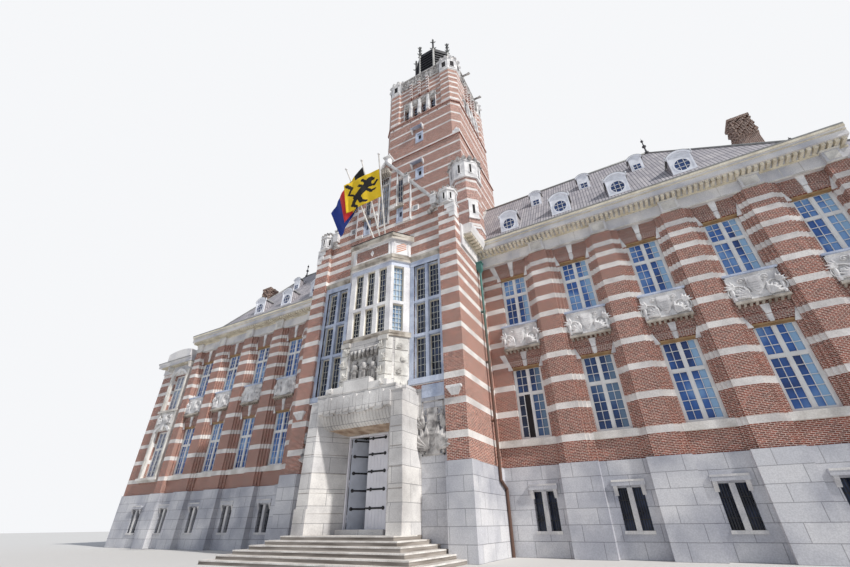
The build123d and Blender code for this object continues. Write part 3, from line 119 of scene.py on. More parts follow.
class Graph:
    """A material's node tree, with short calls for the nodes used here."""

    def __init__(self, name):
        self.material = bpy.data.materials.new(name)
        self.material.use_nodes = True
        self.tree = self.material.node_tree
        self.shader = self.tree.nodes["Principled BSDF"]

    def node(self, kind, **settings):
        made = self.tree.nodes.new(kind)
        for key, value in settings.items():
            setattr(made, key, value)
        return made

    def feed(self, socket, value):
        if isinstance(value, bpy.types.NodeSocket):
            self.tree.links.new(value, socket)
        else:
            socket.default_value = value

    def math(self, operation, *values):
        made = self.node("ShaderNodeMath", operation=operation)
        for socket, value in zip(made.inputs, values):
            self.feed(socket, value)
        return made.outputs[0]

    def place(self):
        """Position in the frame, as X, Y and Z sockets and as a vector."""
        coordinates = self.node("ShaderNodeTexCoord").outputs["Object"]
        split = self.node("ShaderNodeSeparateXYZ")
        self.feed(split.inputs[0], coordinates)
        return split.outputs[0], split.outputs[1], split.outputs[2], coordinates

    def facing(self, axis):
        """Size of the surface normal along an axis."""
        split = self.node("ShaderNodeSeparateXYZ")
        self.feed(split.inputs[0], self.node("ShaderNodeTexCoord").outputs["Normal"])
        return self.math("ABSOLUTE", split.outputs[axis])

    def vector(self, x, y, z):
        made = self.node("ShaderNodeCombineXYZ")
        for socket, value in zip(made.inputs, (x, y, z)):
            self.feed(socket, value)
        return made.outputs[0]

    def wall_place(self, limit=0.72):
        """A vector of the distance along the wall and the height, and the height alone."""
        x, y, z, _ = self.place()
        side = self.math("GREATER_THAN", self.facing(0), limit)
        along = self.math("ADD", self.math("MULTIPLY", y, side),
                          self.math("MULTIPLY", x, self.math("SUBTRACT", 1.0, side)))
        return self.vector(along, z, 0.0), z

    def noise(self, scale, detail=3.0, vector=None):
        made = self.node("ShaderNodeTexNoise")
        self.feed(made.inputs["Vector"], vector if vector is not None else self.place()[3])
        made.inputs["Scale"].default_value = scale
        made.inputs["Detail"].default_value = detail
        return made.outputs["Fac"]

    def ramp(self, value, *stops):
        made = self.node("ShaderNodeValToRGB")
        self.feed(made.inputs[0], value)
        elements = made.color_ramp.elements
        for element, (place, colour) in zip(elements, stops):
            element.position = place
            element.color = colour
        for place, colour in stops[2:]:
            elements.new(place).color = colour
        return made.outputs[0]

    def mix(self, factor, a, b, blend="MIX"):
        made = self.node("ShaderNodeMix", data_type="RGBA", blend_type=blend)
        self.feed(made.inputs["Factor"], factor)
        self.feed(made.inputs[6], a)
        self.feed(made.inputs[7], b)
        return made.outputs[2]

    def tint(self, colour, r, g, b):
        return self.mix(1.0, colour, (r, g, b, 1), "MULTIPLY")

    def bricks(self, vector, colour_a, colour_b, mortar, width, height, joint, offset=0.5):
        made = self.node("ShaderNodeTexBrick", offset=offset)
        self.feed(made.inputs["Vector"], vector)
        self.feed(made.inputs["Color1"], colour_a)
        self.feed(made.inputs["Color2"], colour_b)
        self.feed(made.inputs["Mortar"], mortar)
        made.inputs["Scale"].default_value = 1.0
        made.inputs["Mortar Size"].default_value = joint
        made.inputs["Mortar Smooth"].default_value = 0.2
        made.inputs["Bias"].default_value = 0.0
        made.inputs["Brick Width"].default_value = width
        made.inputs["Row Height"].default_value = height
        return made.outputs["Color"], made.outputs["Fac"]

    def finish(self, colour, roughness=0.8, height=None, depth=0.01):
        self.feed(self.shader.inputs["Base Color"], colour)
        self.shader.inputs["Roughness"].default_value = roughness
        if height is not None:
            bump = self.node("ShaderNodeBump")
            bump.inputs["Distance"].default_value = depth
            bump.inputs["Strength"].default_value = 0.6
            self.feed(bump.inputs["Height"], height)
            self.feed(self.shader.inputs["Normal"], bump.outputs[0])
        return self.material


def levels_mask(graph, z, levels, height):
    """One on the stone bands that start at the given levels, and zero between them."""
    mask = 0.0
    for level in levels:
        one = graph.math("COMPARE", z, level + height / 2, height / 2)
        mask = graph.math("ADD", mask, one)
    return mask


def stone_colour(graph, pale, dark, scale=0.9):
    """Limestone with clouds of weathering and a fine grain."""
    cloud = graph.noise(scale, 6.0)
    grain = graph.noise(38.0, 2.0)
    base = graph.ramp(cloud, (0.34, dark), (0.62, pale))
    speck = graph.ramp(grain, (0.35, (0.84, 0.84, 0.84, 1)), (0.65, (1.05, 1.05, 1.05, 1)))
    return graph.mix(0.8, base, speck, "MULTIPLY")


def brick_colour(graph, brick_a, brick_b):
    """Bricks of mixed reds with pale joints, and where the joints are."""
    wall, z = graph.wall_place()
    warm = graph.mix(graph.noise(1.1, 4.0), linear(*brick_a), linear(*brick_b))
    colour, joint = graph.bricks(wall, graph.tint(warm, 1.30, 1.24, 1.22),
                                 graph.tint(warm, 0.58, 0.54, 0.54),
                                 linear(222, 206, 194), BRICK_L, COURSE, 0.0056)
    speckle = graph.noise(26.0, 2.0)
    colour = graph.mix(0.7, colour, graph.ramp(speckle, (0.32, (0.55, 0.50, 0.50, 1)),
                                               (0.68, (1.35, 1.30, 1.25, 1))), "MULTIPLY")
    return colour, joint, z


def banded_brick(name, levels, brick_a, brick_b, height=BAND_H):
    graph = Graph(name)
    colour, joint, z = brick_colour(graph, brick_a, brick_b)
    if levels:
        stone = stone_colour(graph, linear(242, 237, 232), linear(208, 202, 198), 1.6)
        mask = levels_mask(graph, z, levels, height)
        colour = graph.mix(mask, colour, stone)
    return graph.finish(colour, 0.85, graph.math("MULTIPLY", joint, -1.0), 0.004)


def ashlar(name, pale, dark, block_l=0.85, block_h=0.35):
    graph = Graph(name)
    stone = stone_colour(graph, linear(*pale), linear(*dark))
    colour, joint = graph.bricks(graph.wall_place()[0], stone, graph.tint(stone, 0.84, 0.85, 0.88),
                                 graph.tint(stone, 0.50, 0.50, 0.52), block_l, block_h, 0.008)
    return graph.finish(colour, 0.8, graph.math("MULTIPLY", joint, -1.0), 0.006)


def plain_stone(name, pale, dark, scale=1.8):
    graph = Graph(name)
    stone = stone_colour(graph, linear(*pale), linear(*dark), scale)
    return graph.finish(stone, 0.8, graph.noise(22.0, 4.0), 0.004)


def oriel_stone(name):
    """Pale stone, darkened and tinted blue under the cornices as painted shade, and mossy on the
    cornices themselves.
    """
    graph = Graph(name)
    _, _, z, _ = graph.place()
    pale = stone_colour(graph, linear(246, 244, 242), linear(214, 212, 214), 1.8)
    # Painted shade: a darker, bluer copy of the stone for the band under the middle cornice.
    blue = graph.tint(pale, 0.74, 0.80, 0.94)
    moss = graph.ramp(graph.noise(3.0, 5.0), (0.34, linear(140, 130, 118)),
                      (0.62, linear(206, 198, 186)))
    colour = graph.mix(levels_mask(graph, z, (8.40,), 0.176), pale, blue)
    for low, height in ((9.49, 0.26), (8.576, 0.243), (5.745, 0.165)):
        colour = graph.mix(levels_mask(graph, z, (low,), height), colour, moss)
    return graph.finish(colour, 0.8, graph.noise(22.0, 4.0), 0.004)


def step_stone(name):
    """Treads painted paler as lit tops and risers painted darker as shade, with upright streaks."""
    graph = Graph(name)
    # Painted light and shade: faces turned up take the pale tread colour, all others the darker
    # riser colour.
    up = graph.math("GREATER_THAN", graph.facing(2), 0.5)
    x, y, z, _ = graph.place()
    streak = graph.noise(1.0, 5.0, graph.vector(x, y, graph.math("MULTIPLY", z, 12.0)))
    shaded_riser = graph.ramp(streak, (0.32, linear(112, 104, 96)), (0.66, linear(170, 162, 154)))
    lit_tread = stone_colour(graph, linear(220, 214, 206), linear(178, 170, 162), 1.2)
    return graph.finish(graph.mix(up, shaded_riser, lit_tread), 0.8, graph.noise(30.0, 3.0), 0.002)


def slates(name):
    graph = Graph(name)
    slope, _ = graph.wall_place(0.4)
    tone = graph.mix(graph.noise(1.4, 4.0), linear(158, 154, 160), linear(206, 200, 198))
    colour, joint = graph.bricks(slope, tone, graph.tint(tone, 0.72, 0.72, 0.75),
                                 linear(96, 94, 102), 0.11, 0.60, 0.013, 0.0)
    return graph.finish(colour, 0.6, graph.math("MULTIPLY", joint, -1.0), 0.012)


def paint(name, colour, roughness=0.45, dirt=0.25, scale=5.0):
    graph = Graph(name)
    cloud = graph.noise(scale, 5.0)
    low = 1.0 - dirt
    shade = graph.ramp(cloud, (0.3, (low, low, low, 1)), (0.6, (1, 1, 1, 1)))
    return graph.finish(graph.mix(1.0, linear(*colour), shade, "MULTIPLY"), roughness,
                        graph.noise(60.0, 2.0), 0.0008)


def window_glass(name):
    """Panes with painted reflection of blue sky along the wings, and painted shade of dark rooms in
    the centre and cellars.
    """
    graph = Graph(name)
    x, y, z, _ = graph.place()
    # Painted reflection: the blue sky, mottled, on the wings' panes.
    tone = graph.ramp(graph.noise(0.9, 2.0), (0.35, linear(34, 62, 118)),
                      (0.50, linear(58, 104, 176)), (0.66, linear(140, 182, 226)))
    forward = graph.math("LESS_THAN", y, -1.9)
    # A paler blue column of panes at the same place in every bay.
    across = graph.math("SUBTRACT", x, WINDOW_XS[0] - BAY / 2)
    column = graph.math("FRACT", graph.math("DIVIDE", across, BAY))
    pale_column = graph.math("COMPARE", column, 0.665, 0.055)
    tone = graph.mix(pale_column, tone, linear(150, 188, 222))
    # Painted shade: the lower windows of the two right-hand bays nearest the centre show darker
    # rooms.
    low_room = graph.math("MULTIPLY", graph.math("COMPARE", x, 5.3, 2.0),
                          graph.math("LESS_THAN", z, 5.3))
    tone = graph.mix(graph.math("MULTIPLY", low_room, 0.6), tone, linear(34, 44, 66))
    # Painted shade: dark rooms behind the centre's windows and the cellar windows.
    cellar = graph.math("LESS_THAN", z, 1.6)
    dark = graph.math("MAXIMUM", forward, cellar)
    deep = graph.ramp(graph.noise(3.0, 2.0), (0.35, linear(18, 22, 38)),
                      (0.70, linear(62, 74, 104)))
    colour = graph.mix(dark, tone, deep)
    # Painted reflection: pale sky on the centre's panes that face sideways.
    flank = graph.math("MULTIPLY", forward, graph.math("GREATER_THAN", graph.facing(0), 0.5))
    sky = graph.ramp(graph.noise(2.2, 2.0), (0.35, linear(120, 146, 176)),
                     (0.65, linear(186, 206, 224)))
    colour = graph.mix(flank, colour, sky)
    graph.shader.inputs["Roughness"].default_value = 0.10
    graph.shader.inputs["Specular IOR Level"].default_value = 0.6
    graph.feed(graph.shader.inputs["Base Color"], colour)
    return graph.material


def pipe_metal(name):
    """Copper that is green at the top and brown below."""
    graph = Graph(name)
    _, _, z, _ = graph.place()
    height = graph.math("DIVIDE", z, 10.0)
    tone = graph.ramp(graph.math("ADD", height, graph.math("MULTIPLY", graph.noise(4.0), 0.2)),
                      (0.55, linear(98, 72, 60)), (0.90, linear(72, 122, 116)))
    return graph.finish(tone, 0.5, graph.noise(24.0, 3.0), 0.002)


def cloth(name, colour):
    """Thin woven cloth with a little sheen."""
    graph = Graph(name)
    x, _, z, _ = graph.place()
    weave = graph.math("MULTIPLY", graph.math("SINE", graph.math("MULTIPLY", x, 900.0)),
                       graph.math("SINE", graph.math("MULTIPLY", z, 900.0)))
    shade = graph.ramp(graph.noise(4.0, 3.0), (0.3, (0.80, 0.80, 0.80, 1)), (0.7, (1, 1, 1, 1)))
    graph.shader.inputs["Sheen Weight"].default_value = 0.25
    cloud = graph.mix(1.0, linear(*colour), shade, "MULTIPLY")
    return graph.finish(cloud, 0.8, weave, 0.0006)


brick_wing = banded_brick("brick_wing", WING_BANDS, (154, 86, 66), (120, 60, 46))
brick_centre = banded_brick("brick_centre", CENTRE_BANDS, (164, 100, 80), (138, 74, 58))
brick_tower = banded_brick("brick_tower", TOWER_BANDS, (168, 120, 106), (148, 96, 84), 0.13)
brick_turret = banded_brick("brick_turret", TURRET_BANDS, (172, 120, 102), (150, 96, 80), 0.15)
brick_stair = banded_brick("brick_stair", STAIR_BANDS, (172, 126, 116), (150, 102, 94), 0.13)
# brick_plain is darker than the wall brick: its own colour, and over the upper windows, under the
# cornice, partly painted shade.
brick_plain = banded_brick("brick_plain", (), (136, 72, 58), (104, 50, 42))
brick_dark = banded_brick("brick_dark", (), (112, 78, 62), (84, 58, 48))
stripe_brick = paint("stripe_brick", (226, 168, 142), 0.9, 0.2)
plinth_stone = ashlar("plinth_stone", (222, 221, 222), (178, 179, 186))
plinth_pale = plain_stone("plinth_pale", (228, 225, 221), (188, 187, 190))
trim_stone = plain_stone("trim_stone", (238, 234, 228), (196, 190, 182))
white_stone = plain_stone("white_stone", (246, 244, 242), (200, 198, 198), 3.0)
pale_stone = plain_stone("pale_stone", (232, 229, 222), (184, 180, 174), 2.6)
cream_stone = plain_stone("cream_stone", (238, 230, 210), (208, 198, 176), 3.0)
# Painted shade: blue_stone is pale stone darkened and tinted blue, for stonework in shadow under
# cornices and on fronts turned from the sun.
blue_stone = plain_stone("blue_stone", (208, 216, 232), (160, 172, 196), 2.4)
mossy_stone = plain_stone("mossy_stone", (202, 194, 182), (132, 122, 110), 3.0)
grey_carving = plain_stone("grey_carving", (212, 208, 204), (126, 122, 120), 5.0)
tan_stone = plain_stone("tan_stone", (206, 184, 162), (150, 124, 104), 4.0)
nosing_stone = plain_stone("nosing_stone", (240, 236, 230), (208, 203, 196), 3.0)
portal_stone = ashlar("portal_stone", (244, 240, 234), (192, 188, 184), 0.9, 0.40)
cornice_stone = plain_stone("cornice_stone", (236, 233, 230), (188, 189, 196), 1.1)
side_stone = oriel_stone("oriel_stone")
stair_stone = step_stone("stair_stone")
roof_slate = slates("roof_slate")
window_white = paint("window_white", (236, 236, 234), 0.4, 0.12)
dormer_white = paint("dormer_white", (240, 242, 248), 0.5, 0.16)
tan_paint = paint("tan_paint", (176, 144, 104), 0.6, 0.35)
lead_grey = paint("lead_grey", (148, 148, 146), 0.5, 0.3)
dark_lead = paint("dark_lead", (70, 68, 72), 0.5, 0.3)
pane_glass = window_glass("pane_glass")
# Painted shade: dark blue-grey glass for unlit rooms and hollows behind the panes.
dark_glass = paint("dark_glass", (44, 54, 80), 0.12, 0.5, 3.0)
# Painted shade: a near-black sheet set in openings, slits and rooms that stand in shadow.
recess_shade = paint("recess_shade", (40, 36, 38), 0.9, 0.4)
joint_dark = paint("joint_dark", (126, 112, 98), 0.9, 0.3)
came_white = paint("came_white", (214, 214, 206), 0.5, 0.3)
lantern_paint = paint("lantern_paint", (30, 29, 32), 0.6)
louvre_paint = paint("louvre_paint", (74, 74, 80), 0.5, 0.4)
finial_metal = paint("finial_metal", (112, 114, 108), 0.5, 0.5, 3.0)
# Painted reflection: dormer_glass shows blue sky on its panes and niche_glass pale sky.
dormer_glass = paint("dormer_glass", (54, 76, 124), 0.12, 0.5, 3.0)
niche_glass = paint("niche_glass", (164, 174, 192), 0.15, 0.3, 2.0)
post_paint = paint("post_paint", (198, 196, 190), 0.5, 0.35, 3.0)
door_white = paint("door_white", (236, 234, 238), 0.4, 0.12, 3.0)
# Painted shade: the left leaf's white paint, darkened and tinted blue for the shadow it stands in.
door_shade_grey = paint("door_shade_grey", (196, 200, 210), 0.4, 0.2, 3.0)
black_iron = paint("black_iron", (34, 32, 34))
inner_plaster = paint("inner_plaster", (120, 114, 108), 0.9)
pole_paint = paint("pole_paint", (236, 232, 226))
pipe_copper = pipe_metal("pipe_copper")
flag_yellow = cloth("flag_yellow", (244, 206, 30))
flag_blue = cloth("flag_blue", (30, 60, 150))
flag_black = cloth("flag_black", (24, 22, 24))
flag_red = cloth("flag_red", (206, 40, 44))

DRESS = {
    brick_wing: ("wing_front_walls", "end_walls", "back_wall", "wing_pilasters"),
    brick_dark: ("chimneys",),
    brick_centre: ("centre_side_walls", "centre_front_wall", "corner_piers", "gables"),
    brick_tower: ("tower_shaft", "tower_stage"),
    brick_turret: ("tower_belfry", "tower_turrets"),
    brick_stair: ("stair_turrets",),
    plinth_stone: ("wing_front_plinths", "end_plinths", "back_plinth", "centre_plinths",
                   "pier_bases"),
    stair_stone: ("entrance_steps",),
    trim_stone: ("relief_panels", "sill_courses", "end_bay_surrounds"),
    white_stone: ("pinnacles", "gable_coping"),
    # Painted shade: the flank windows' stone takes the darker blue stone.
    blue_stone: ("flank_windows",),
    side_stone: ("oriel",),
    portal_stone: ("portal_jambs", "portal_lintel", "oriel_base"),
    cornice_stone: ("wing_cornices", "end_entablatures", "back_entablature",
                    "centre_side_cornices"),
    roof_slate: ("wing_roofs", "centre_roofs"),
    window_white: ("front_window_frames", "rear_window_frames"),
    dormer_white: ("dormers",),
    pane_glass: ("front_window_glass", "rear_window_glass"),
    lantern_paint: ("tower_lantern",),
    door_white: ("door_frame", "right_door_leaf"),
    # Painted shade: the open left leaf takes the shaded copy of the door white.
    door_shade_grey: ("left_door_leaf",),
    black_iron: ("right_leaf_straps", "left_leaf_straps"),
    inner_plaster: ("wing_floors", "centre_floors"),
    pole_paint: ("flagpoles",),
    pipe_copper: ("downpipes",),
    flag_yellow: ("flags",),
}


def in_scene(name, data):
    """A new object in the scene that holds the data."""
    made = bpy.data.objects.new(name, data)
    bpy.context.scene.collection.objects.link(made)
    return made


class Piece:
    """Mesh faces gathered for one named piece, placed in the frame."""

    def __init__(self, name, material, body="building"):
        self.name = name
        self.material = material
        self.body = body
        self.points = []
        self.faces = []
        self.place = None

    def add(self, points, faces):
        start = len(self.points)
        if self.place is not None:
            points = [self.place(p) for p in points]
        self.points += [tuple(p) for p in points]
        self.faces += [tuple(start + k for k in face) for face in faces]

    def box(self, x0, x1, y0, y1, z0, z1):
        self.frustum((x0, x1, y0, y1), (x0, x1, y0, y1), z0, z1)

    def bar(self, x, half, y0, y1, z0, z1):
        """A block that reaches half its width to each side of x."""
        self.box(x - half, x + half, y0, y1, z0, z1)

    def frustum(self, low, high, z0, z1):
        """A block whose top and bottom rectangles, as x0, x1, y0, y1, may differ."""
        points = []
        for (x0, x1, y0, y1), z in ((low, z0), (high, z1)):
            points += [(x0, y0, z), (x1, y0, z), (x1, y1, z), (x0, y1, z)]
        self.add(points, ((0, 3, 2, 1), (4, 5, 6, 7), (0, 1, 5, 4), (1, 2, 6, 5), (2, 3, 7, 6),
                          (3, 0, 4, 7)))

    def prism(self, outline, a, b, axis="y"):
        """An outline pushed from a to b along an axis; it lies in the other two, in order."""
        def at(u, v, w):
            return {"x": (w, u, v), "y": (u, w, v), "z": (u, v, w)}[axis]
        n = len(outline)
        points = [at(u, v, a) for u, v in outline] + [at(u, v, b) for u, v in outline]
        sides = [(k, (k + 1) % n, n + (k + 1) % n, n + k) for k in range(n)]
        self.add(points, [tuple(range(n)), tuple(range(n, 2 * n))] + sides)

    def rings(self, points, sides):
        """Rings of points joined in order and closed at both ends."""
        faces = [tuple(range(sides)), tuple(range(len(points) - sides, len(points)))]
        for j in range(0, len(points) - sides, sides):
            for k in range(sides):
                m = (k + 1) % sides
                faces.append((j + k, j + m, j + sides + m, j + sides + k))
        self.add(points, faces)

    def lathe(self, x, y, profile, sides=16):
        """A profile of (radius, z) turned round an upright axis."""
        turns = [2 * pi * k / sides for k in range(sides)]
        self.rings([(x + r * cos(a), y + r * sin(a), z) for r, z in profile for a in turns], sides)

    def tube(self, path, radius, sides=6):
        """A round bar through the points of a path; the radius may differ at each point."""
        path = [Vector(p) for p in path]
        radii = radius if isinstance(radius, (list, tuple)) else [radius] * len(path)
        points = []
        for k, point in enumerate(path):
            along = (path[min(k + 1, len(path) - 1)] - path[max(k - 1, 0)]).normalized()
            other = Vector((0, 0, 1)) if abs(along.z) < 0.9 else Vector((0, 1, 0))
            across = along.cross(other).normalized()
            up = across.cross(along)
            for j in range(sides):
                a = 2 * pi * j / sides
                points.append(point + radii[k] * (cos(a) * across + sin(a) * up))
        self.rings(points, sides)

    def ball(self, x, y, z, rx, ry=None, rz=None, sides=10, rings=6):
        """A round or oval boss."""
        ry = rx if ry is None else ry
        rz = rx if rz is None else rz
        points = [(x, y, z - rz)]
        for j in range(1, rings):
            b = pi * j / rings - pi / 2
            for k in range(sides):
                a = 2 * pi * k / sides
                points.append((x + rx * cos(b) * cos(a), y + ry * cos(b) * sin(a), z + rz * sin(b)))
        points.append((x, y, z + rz))
        top = len(points) - 1
        faces = []
        for k in range(sides):
            m = (k + 1) % sides
            faces.append((0, 1 + m, 1 + k))
            faces.append((top, top - sides + k, top - sides + m))
            for j in range(rings - 2):
                a, b = 1 + j * sides, 1 + (j + 1) * sides
                faces.append((a + k, a + m, b + m, b + k))
        self.add(points, faces)

    def both(self):
        """The same again on the other side of the entrance."""
        start = len(self.points)
        self.points += [(-x, y, z) for x, y, z in self.points]
        self.faces += [tuple(start + k for k in reversed(face)) for face in self.faces]

    def done(self, smooth=False):
        mesh = bpy.data.meshes.new(self.name)
        mesh.from_pydata(self.points, [], self.faces)
        work = bmesh.new()
        work.from_mesh(mesh)
        bmesh.ops.recalc_face_normals(work, faces=work.faces)
        work.to_mesh(mesh)
        work.free()
        mesh.materials.append(self.material)
        for face in mesh.polygons:
            face.use_smooth = smooth
        piece = in_scene(self.name, mesh)
        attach(piece, self.body)
        return piece


def put(place, *pieces):
    """What is added to these pieces from now on goes through this place."""
    for piece in pieces:
        piece.place = place


def finish(*pieces, both=False, smooth=False):
    """Make the pieces' objects, mirrored to the left half as well if both is set."""
    put(None, *pieces)
    for piece in pieces:
        if both:
            piece.both()
        piece.done(smooth)


def arc(cx, cz, r, a0, a1, steps, squash=1.0):
    """Points on an arc in a vertical plane, from angle a0 to a1 in degrees."""
    angles = [radians(a0 + (a1 - a0) * k / steps) for k in range(steps + 1)]
    return [(cx + r * cos(a), cz + r * squash * sin(a)) for a in angles]


def between(outer, inner):
    """Outlines of the stones between two arcs of equally many points."""
    return list(zip(outer[:-1], outer[1:], inner[1:], inner[:-1]))


def spread(count, pitch):
    """Places of a row of equal things round zero."""
    return [(k - (count - 1) / 2) * pitch for k in range(count)]


def front(cx, face=0.0):
    """From along, in and up to the street front, round the point cx on a wall face."""
    return lambda p: (cx + p[0], face + p[1], p[2])


def rear(cx):
    """The same places as front gives, on the back wall."""
    return lambda p: (cx - p[0], BACK_Y - p[1], p[2])


def right_end(cy):
    return lambda p: (WING_END_X - p[1], cy + p[0], p[2])


def left_end(cy):
    return lambda p: (p[1] - WING_END_X, cy - p[0], p[2])


def turned(angle, x, y):
    """Turned by degrees, anticlockwise as seen from above, and then moved to x, y."""
    c, s = cos(radians(angle)), sin(radians(angle))
    return lambda p: (x + p[0] * c - p[1] * s, y + p[0] * s + p[1] * c, p[2])


def mirrored(place):
    """The same place in the left half."""
    def at(p):
        x, y, z = place(p)
        return (-x, y, z)
    return at


def around_tower(quarter):
    """From along, in and up on one side of the tower to the frame; 0 is the street side."""
    return turned(90 * quarter, 0, TOWER_MID)


# The canted sides of the oriel and of its base
canted = turned(degrees(atan2(0.52, 0.45)), 0.85, -2.72)
base_canted = turned(degrees(atan2(0.60, 0.52)), 0.80, -2.80)


def eight_sides(piece, x, y):
    """Give a piece the place of each side of an octagonal shaft in turn."""
    for k in range(8):
        piece.place = turned(45 * k, x, y)
        yield k
    piece.place = None


def inner_frame(piece, x0, x1, z0, z1, width, y0, y1):
    """Four bars just inside an opening."""
    piece.box(x0, x0 + width, y0, y1, z0, z1)
    piece.box(x1 - width, x1, y0, y1, z0, z1)
    piece.box(x0 + width, x1 - width, y0, y1, z0, z0 + width)
    piece.box(x0 + width, x1 - width, y0, y1, z1 - width, z1)


def frame_round(piece, x, half, z0, z1, width, y0, y1):
    """Four bars round an opening that reaches half its width to each side of x."""
    for side in (-1, 1):
        piece.bar(x + side * (half + width / 2), width / 2, y0, y1, z0 - width, z1 + width)
    piece.bar(x, half, y0, y1, z0 - width, z0)
    piece.bar(x, half, y0, y1, z1, z1 + width)


def lattice(piece, x0, x1, z0, z1, rim, columns, rows, half, uprights_y, levels_y):
    """Bars that part a light, inside its rim, into columns and rows of panes."""
    for j in range(1, columns):
        piece.bar(x0 + (x1 - x0) * j / columns, half, *uprights_y, z0 + rim, z1 - rim)
    for j in range(1, rows):
        z = z0 + (z1 - z0) * j / rows
        piece.box(x0 + rim, x1 - rim, *levels_y, z - half, z + half)


def glazing(piece, w, z0, z1, lights, below):
    """Casements with glazing bars in a window frame, as the frame's own panes leave room."""
    post = 0.055
    stile = 0.026
    columns = 2
    above = 3
    split = z1 - (z1 - z0) * 0.39
    pane = (w - post * (lights + 1)) / lights
    for k in range(lights):
        x0 = -w / 2 + post + k * (pane + post)
        for low, high, rows in ((z0 + post, split - post / 2, below),
                                (split + post / 2, z1 - post, above)):
            inner_frame(piece, x0, x0 + pane, low, high, stile, 0.122, 0.162)
            lattice(piece, x0, x0 + pane, low, high, stile, columns, rows, 0.007,
                    (0.132, 0.162), (0.136, 0.162))


def two_storeys(piece, w, end_bay=False, lights=2):
    """The casements of a lower window and of the upper one above it."""
    for (z0, z1), below in zip((LOWER, END_UPPER if end_bay else UPPER), (5, 4)):
        glazing(piece, w, z0, z1, lights, below)


def ajar_casement():
    """The first lower window right of the centre has a casement that stands open inwards."""
    room = Piece("ajar_opening", recess_shade)
    leaf = Piece("ajar_casement", window_white)
    pane = Piece("ajar_pane", dark_glass)
    put(front(WINDOW_XS[0]), room, leaf, pane)
    x0, x1, low, high = -0.395, -0.028, 2.875, 4.120
    leaf_w = 0.20
    stile = 0.022
    # Painted shade: a dark sheet for the room behind the open casement.
    room.box(x0, x1, 0.112, 0.121, low, high)
    pane.box(x0 + 0.02, x0 + leaf_w - 0.02, 0.104, 0.111, low + 0.03, high - 0.03)
    frame_round(leaf, x0 + leaf_w / 2, leaf_w / 2 - stile, low + stile, high - stile, stile,
                0.094, 0.111)
    for k in range(1, 4):
        z = low + (high - low) * k / 4
        leaf.bar(x0 + leaf_w / 2, leaf_w / 2 - stile, 0.098, 0.108, z - 0.008, z + 0.008)
    finish(room, leaf, pane)


def window_bars():
    bars = Piece("window_casements", window_white)
    for x in WINDOW_XS:
        bars.place = front(x)
        two_storeys(bars, WINDOW_W)
    bars.place = front(END_BAY_X)
    two_storeys(bars, END_WINDOW_W, True, 3)
    finish(bars, both=True)


def rear_window_bars():
    bars = Piece("rear_casements", window_white)
    for x in WINDOW_XS + (END_BAY_X, BAY / 2):
        for side in (-1, 1):
            bars.place = rear(side * x)
            two_storeys(bars, WINDOW_W, x == END_BAY_X)
    for y in END_WINDOW_YS:
        for place in (right_end(y), left_end(y)):
            bars.place = place
            two_storeys(bars, WINDOW_W, True)
    finish(bars)


def voussoirs(bricks, stones, half, z0, z1):
    """A flat arch of slanted bricks with a two-part keystone and skewbacks."""
    key = 0.062
    splay = 1.36
    rows = 5
    count = 7
    joint = 0.004
    courses = [z0 + (z1 - z0) * j / rows for j in range(rows + 1)]
    outer = half + 0.135
    shoulder = outer - 0.02
    top = z1 + 0.02

    def lean(side, x, z):
        return side * x * (1 + (splay - 1) * (z - z0) / (z1 - z0)), z
    for side in (-1, 1):
        for k in range(count):
            a = key + (half - key) * k / count + joint
            b = key + (half - key) * (k + 1) / count - joint
            for low, high in zip(courses[:-1], courses[1:]):
                low, high = low + joint, high - joint
                bricks.prism([lean(side, a, low), lean(side, b, low), lean(side, b, high),
                              lean(side, a, high)], -0.012, 0.002)
        stones.prism([lean(side, half, z0 - 0.10), (side * shoulder, z0 - 0.10),
                      (side * shoulder, z0 + 0.05), lean(side, outer, z0 + 0.05),
                      lean(side, outer, top), lean(side, half, top)], -0.020, 0.002)
    middle = z0 + (z1 - z0) * 0.42
    wide = key * splay * 1.15
    stones.prism([(-key, middle + 0.02), (key, middle + 0.02), (wide, top), (-wide, top)],
                 -0.050, 0.002)
    stones.prism([(-key * 0.7, z0 - 0.015), (key * 0.7, z0 - 0.015), (key * 0.86, middle),
                  (-key * 0.86, middle)], -0.035, 0.002)


def flat_arches():
    bricks = Piece("flat_arch_bricks", brick_plain)
    stones = Piece("flat_arch_stones", white_stone)
    heads = Piece("window_head_boards", tan_paint)
    half = WINDOW_W / 2
    for x in WINDOW_XS:
        put(front(x), bricks, stones, heads)
        for head, top in ((LOWER[1], PANEL_FOOT - 0.13), (UPPER[1], FRIEZE_Z)):
            voussoirs(bricks, stones, half, head, top - 0.02)
            heads.bar(0, half, 0.015, 0.110, head - 0.05, head)
            heads.bar(0, half, 0.085, 0.112, head - 0.085, head - 0.05)
    finish(bricks, stones, heads, both=True)


def scroll(piece, x, z, side, size, y=-0.125, turns=1.35, thick=0.026):
    """A carved volute that ends in a leaf."""
    path = []
    radii = []
    steps = 22
    for k in range(steps + 1):
        t = k / steps
        a = radians(-80 + 360 * turns * t)
        r = size * (0.10 + 0.90 * (1 - t) ** 1.1)
        path.append((x + side * r * cos(a) * 1.25, y, z + r * sin(a)))
        radii.append(thick * (0.55 + 0.6 * t))
    piece.tube(path, radii)
    piece.ball(x, y - 0.01, z, thick * 1.5)


def leaf_fan(piece, x, z, side, size, y=-0.12, count=5):
    """Leaves that spread from one point, from almost level to almost upright."""
    for k in range(count):
        a = radians(8 + 76 * k / (count - 1))
        tip = (x + side * size * cos(a), y - 0.012, z + size * sin(a))
        mid = (x + side * size * 0.55 * cos(a), y - 0.035, z + size * 0.55 * sin(a))
        piece.tube([(x, y, z), mid, tip], [size * 0.10, size * 0.15, size * 0.03])


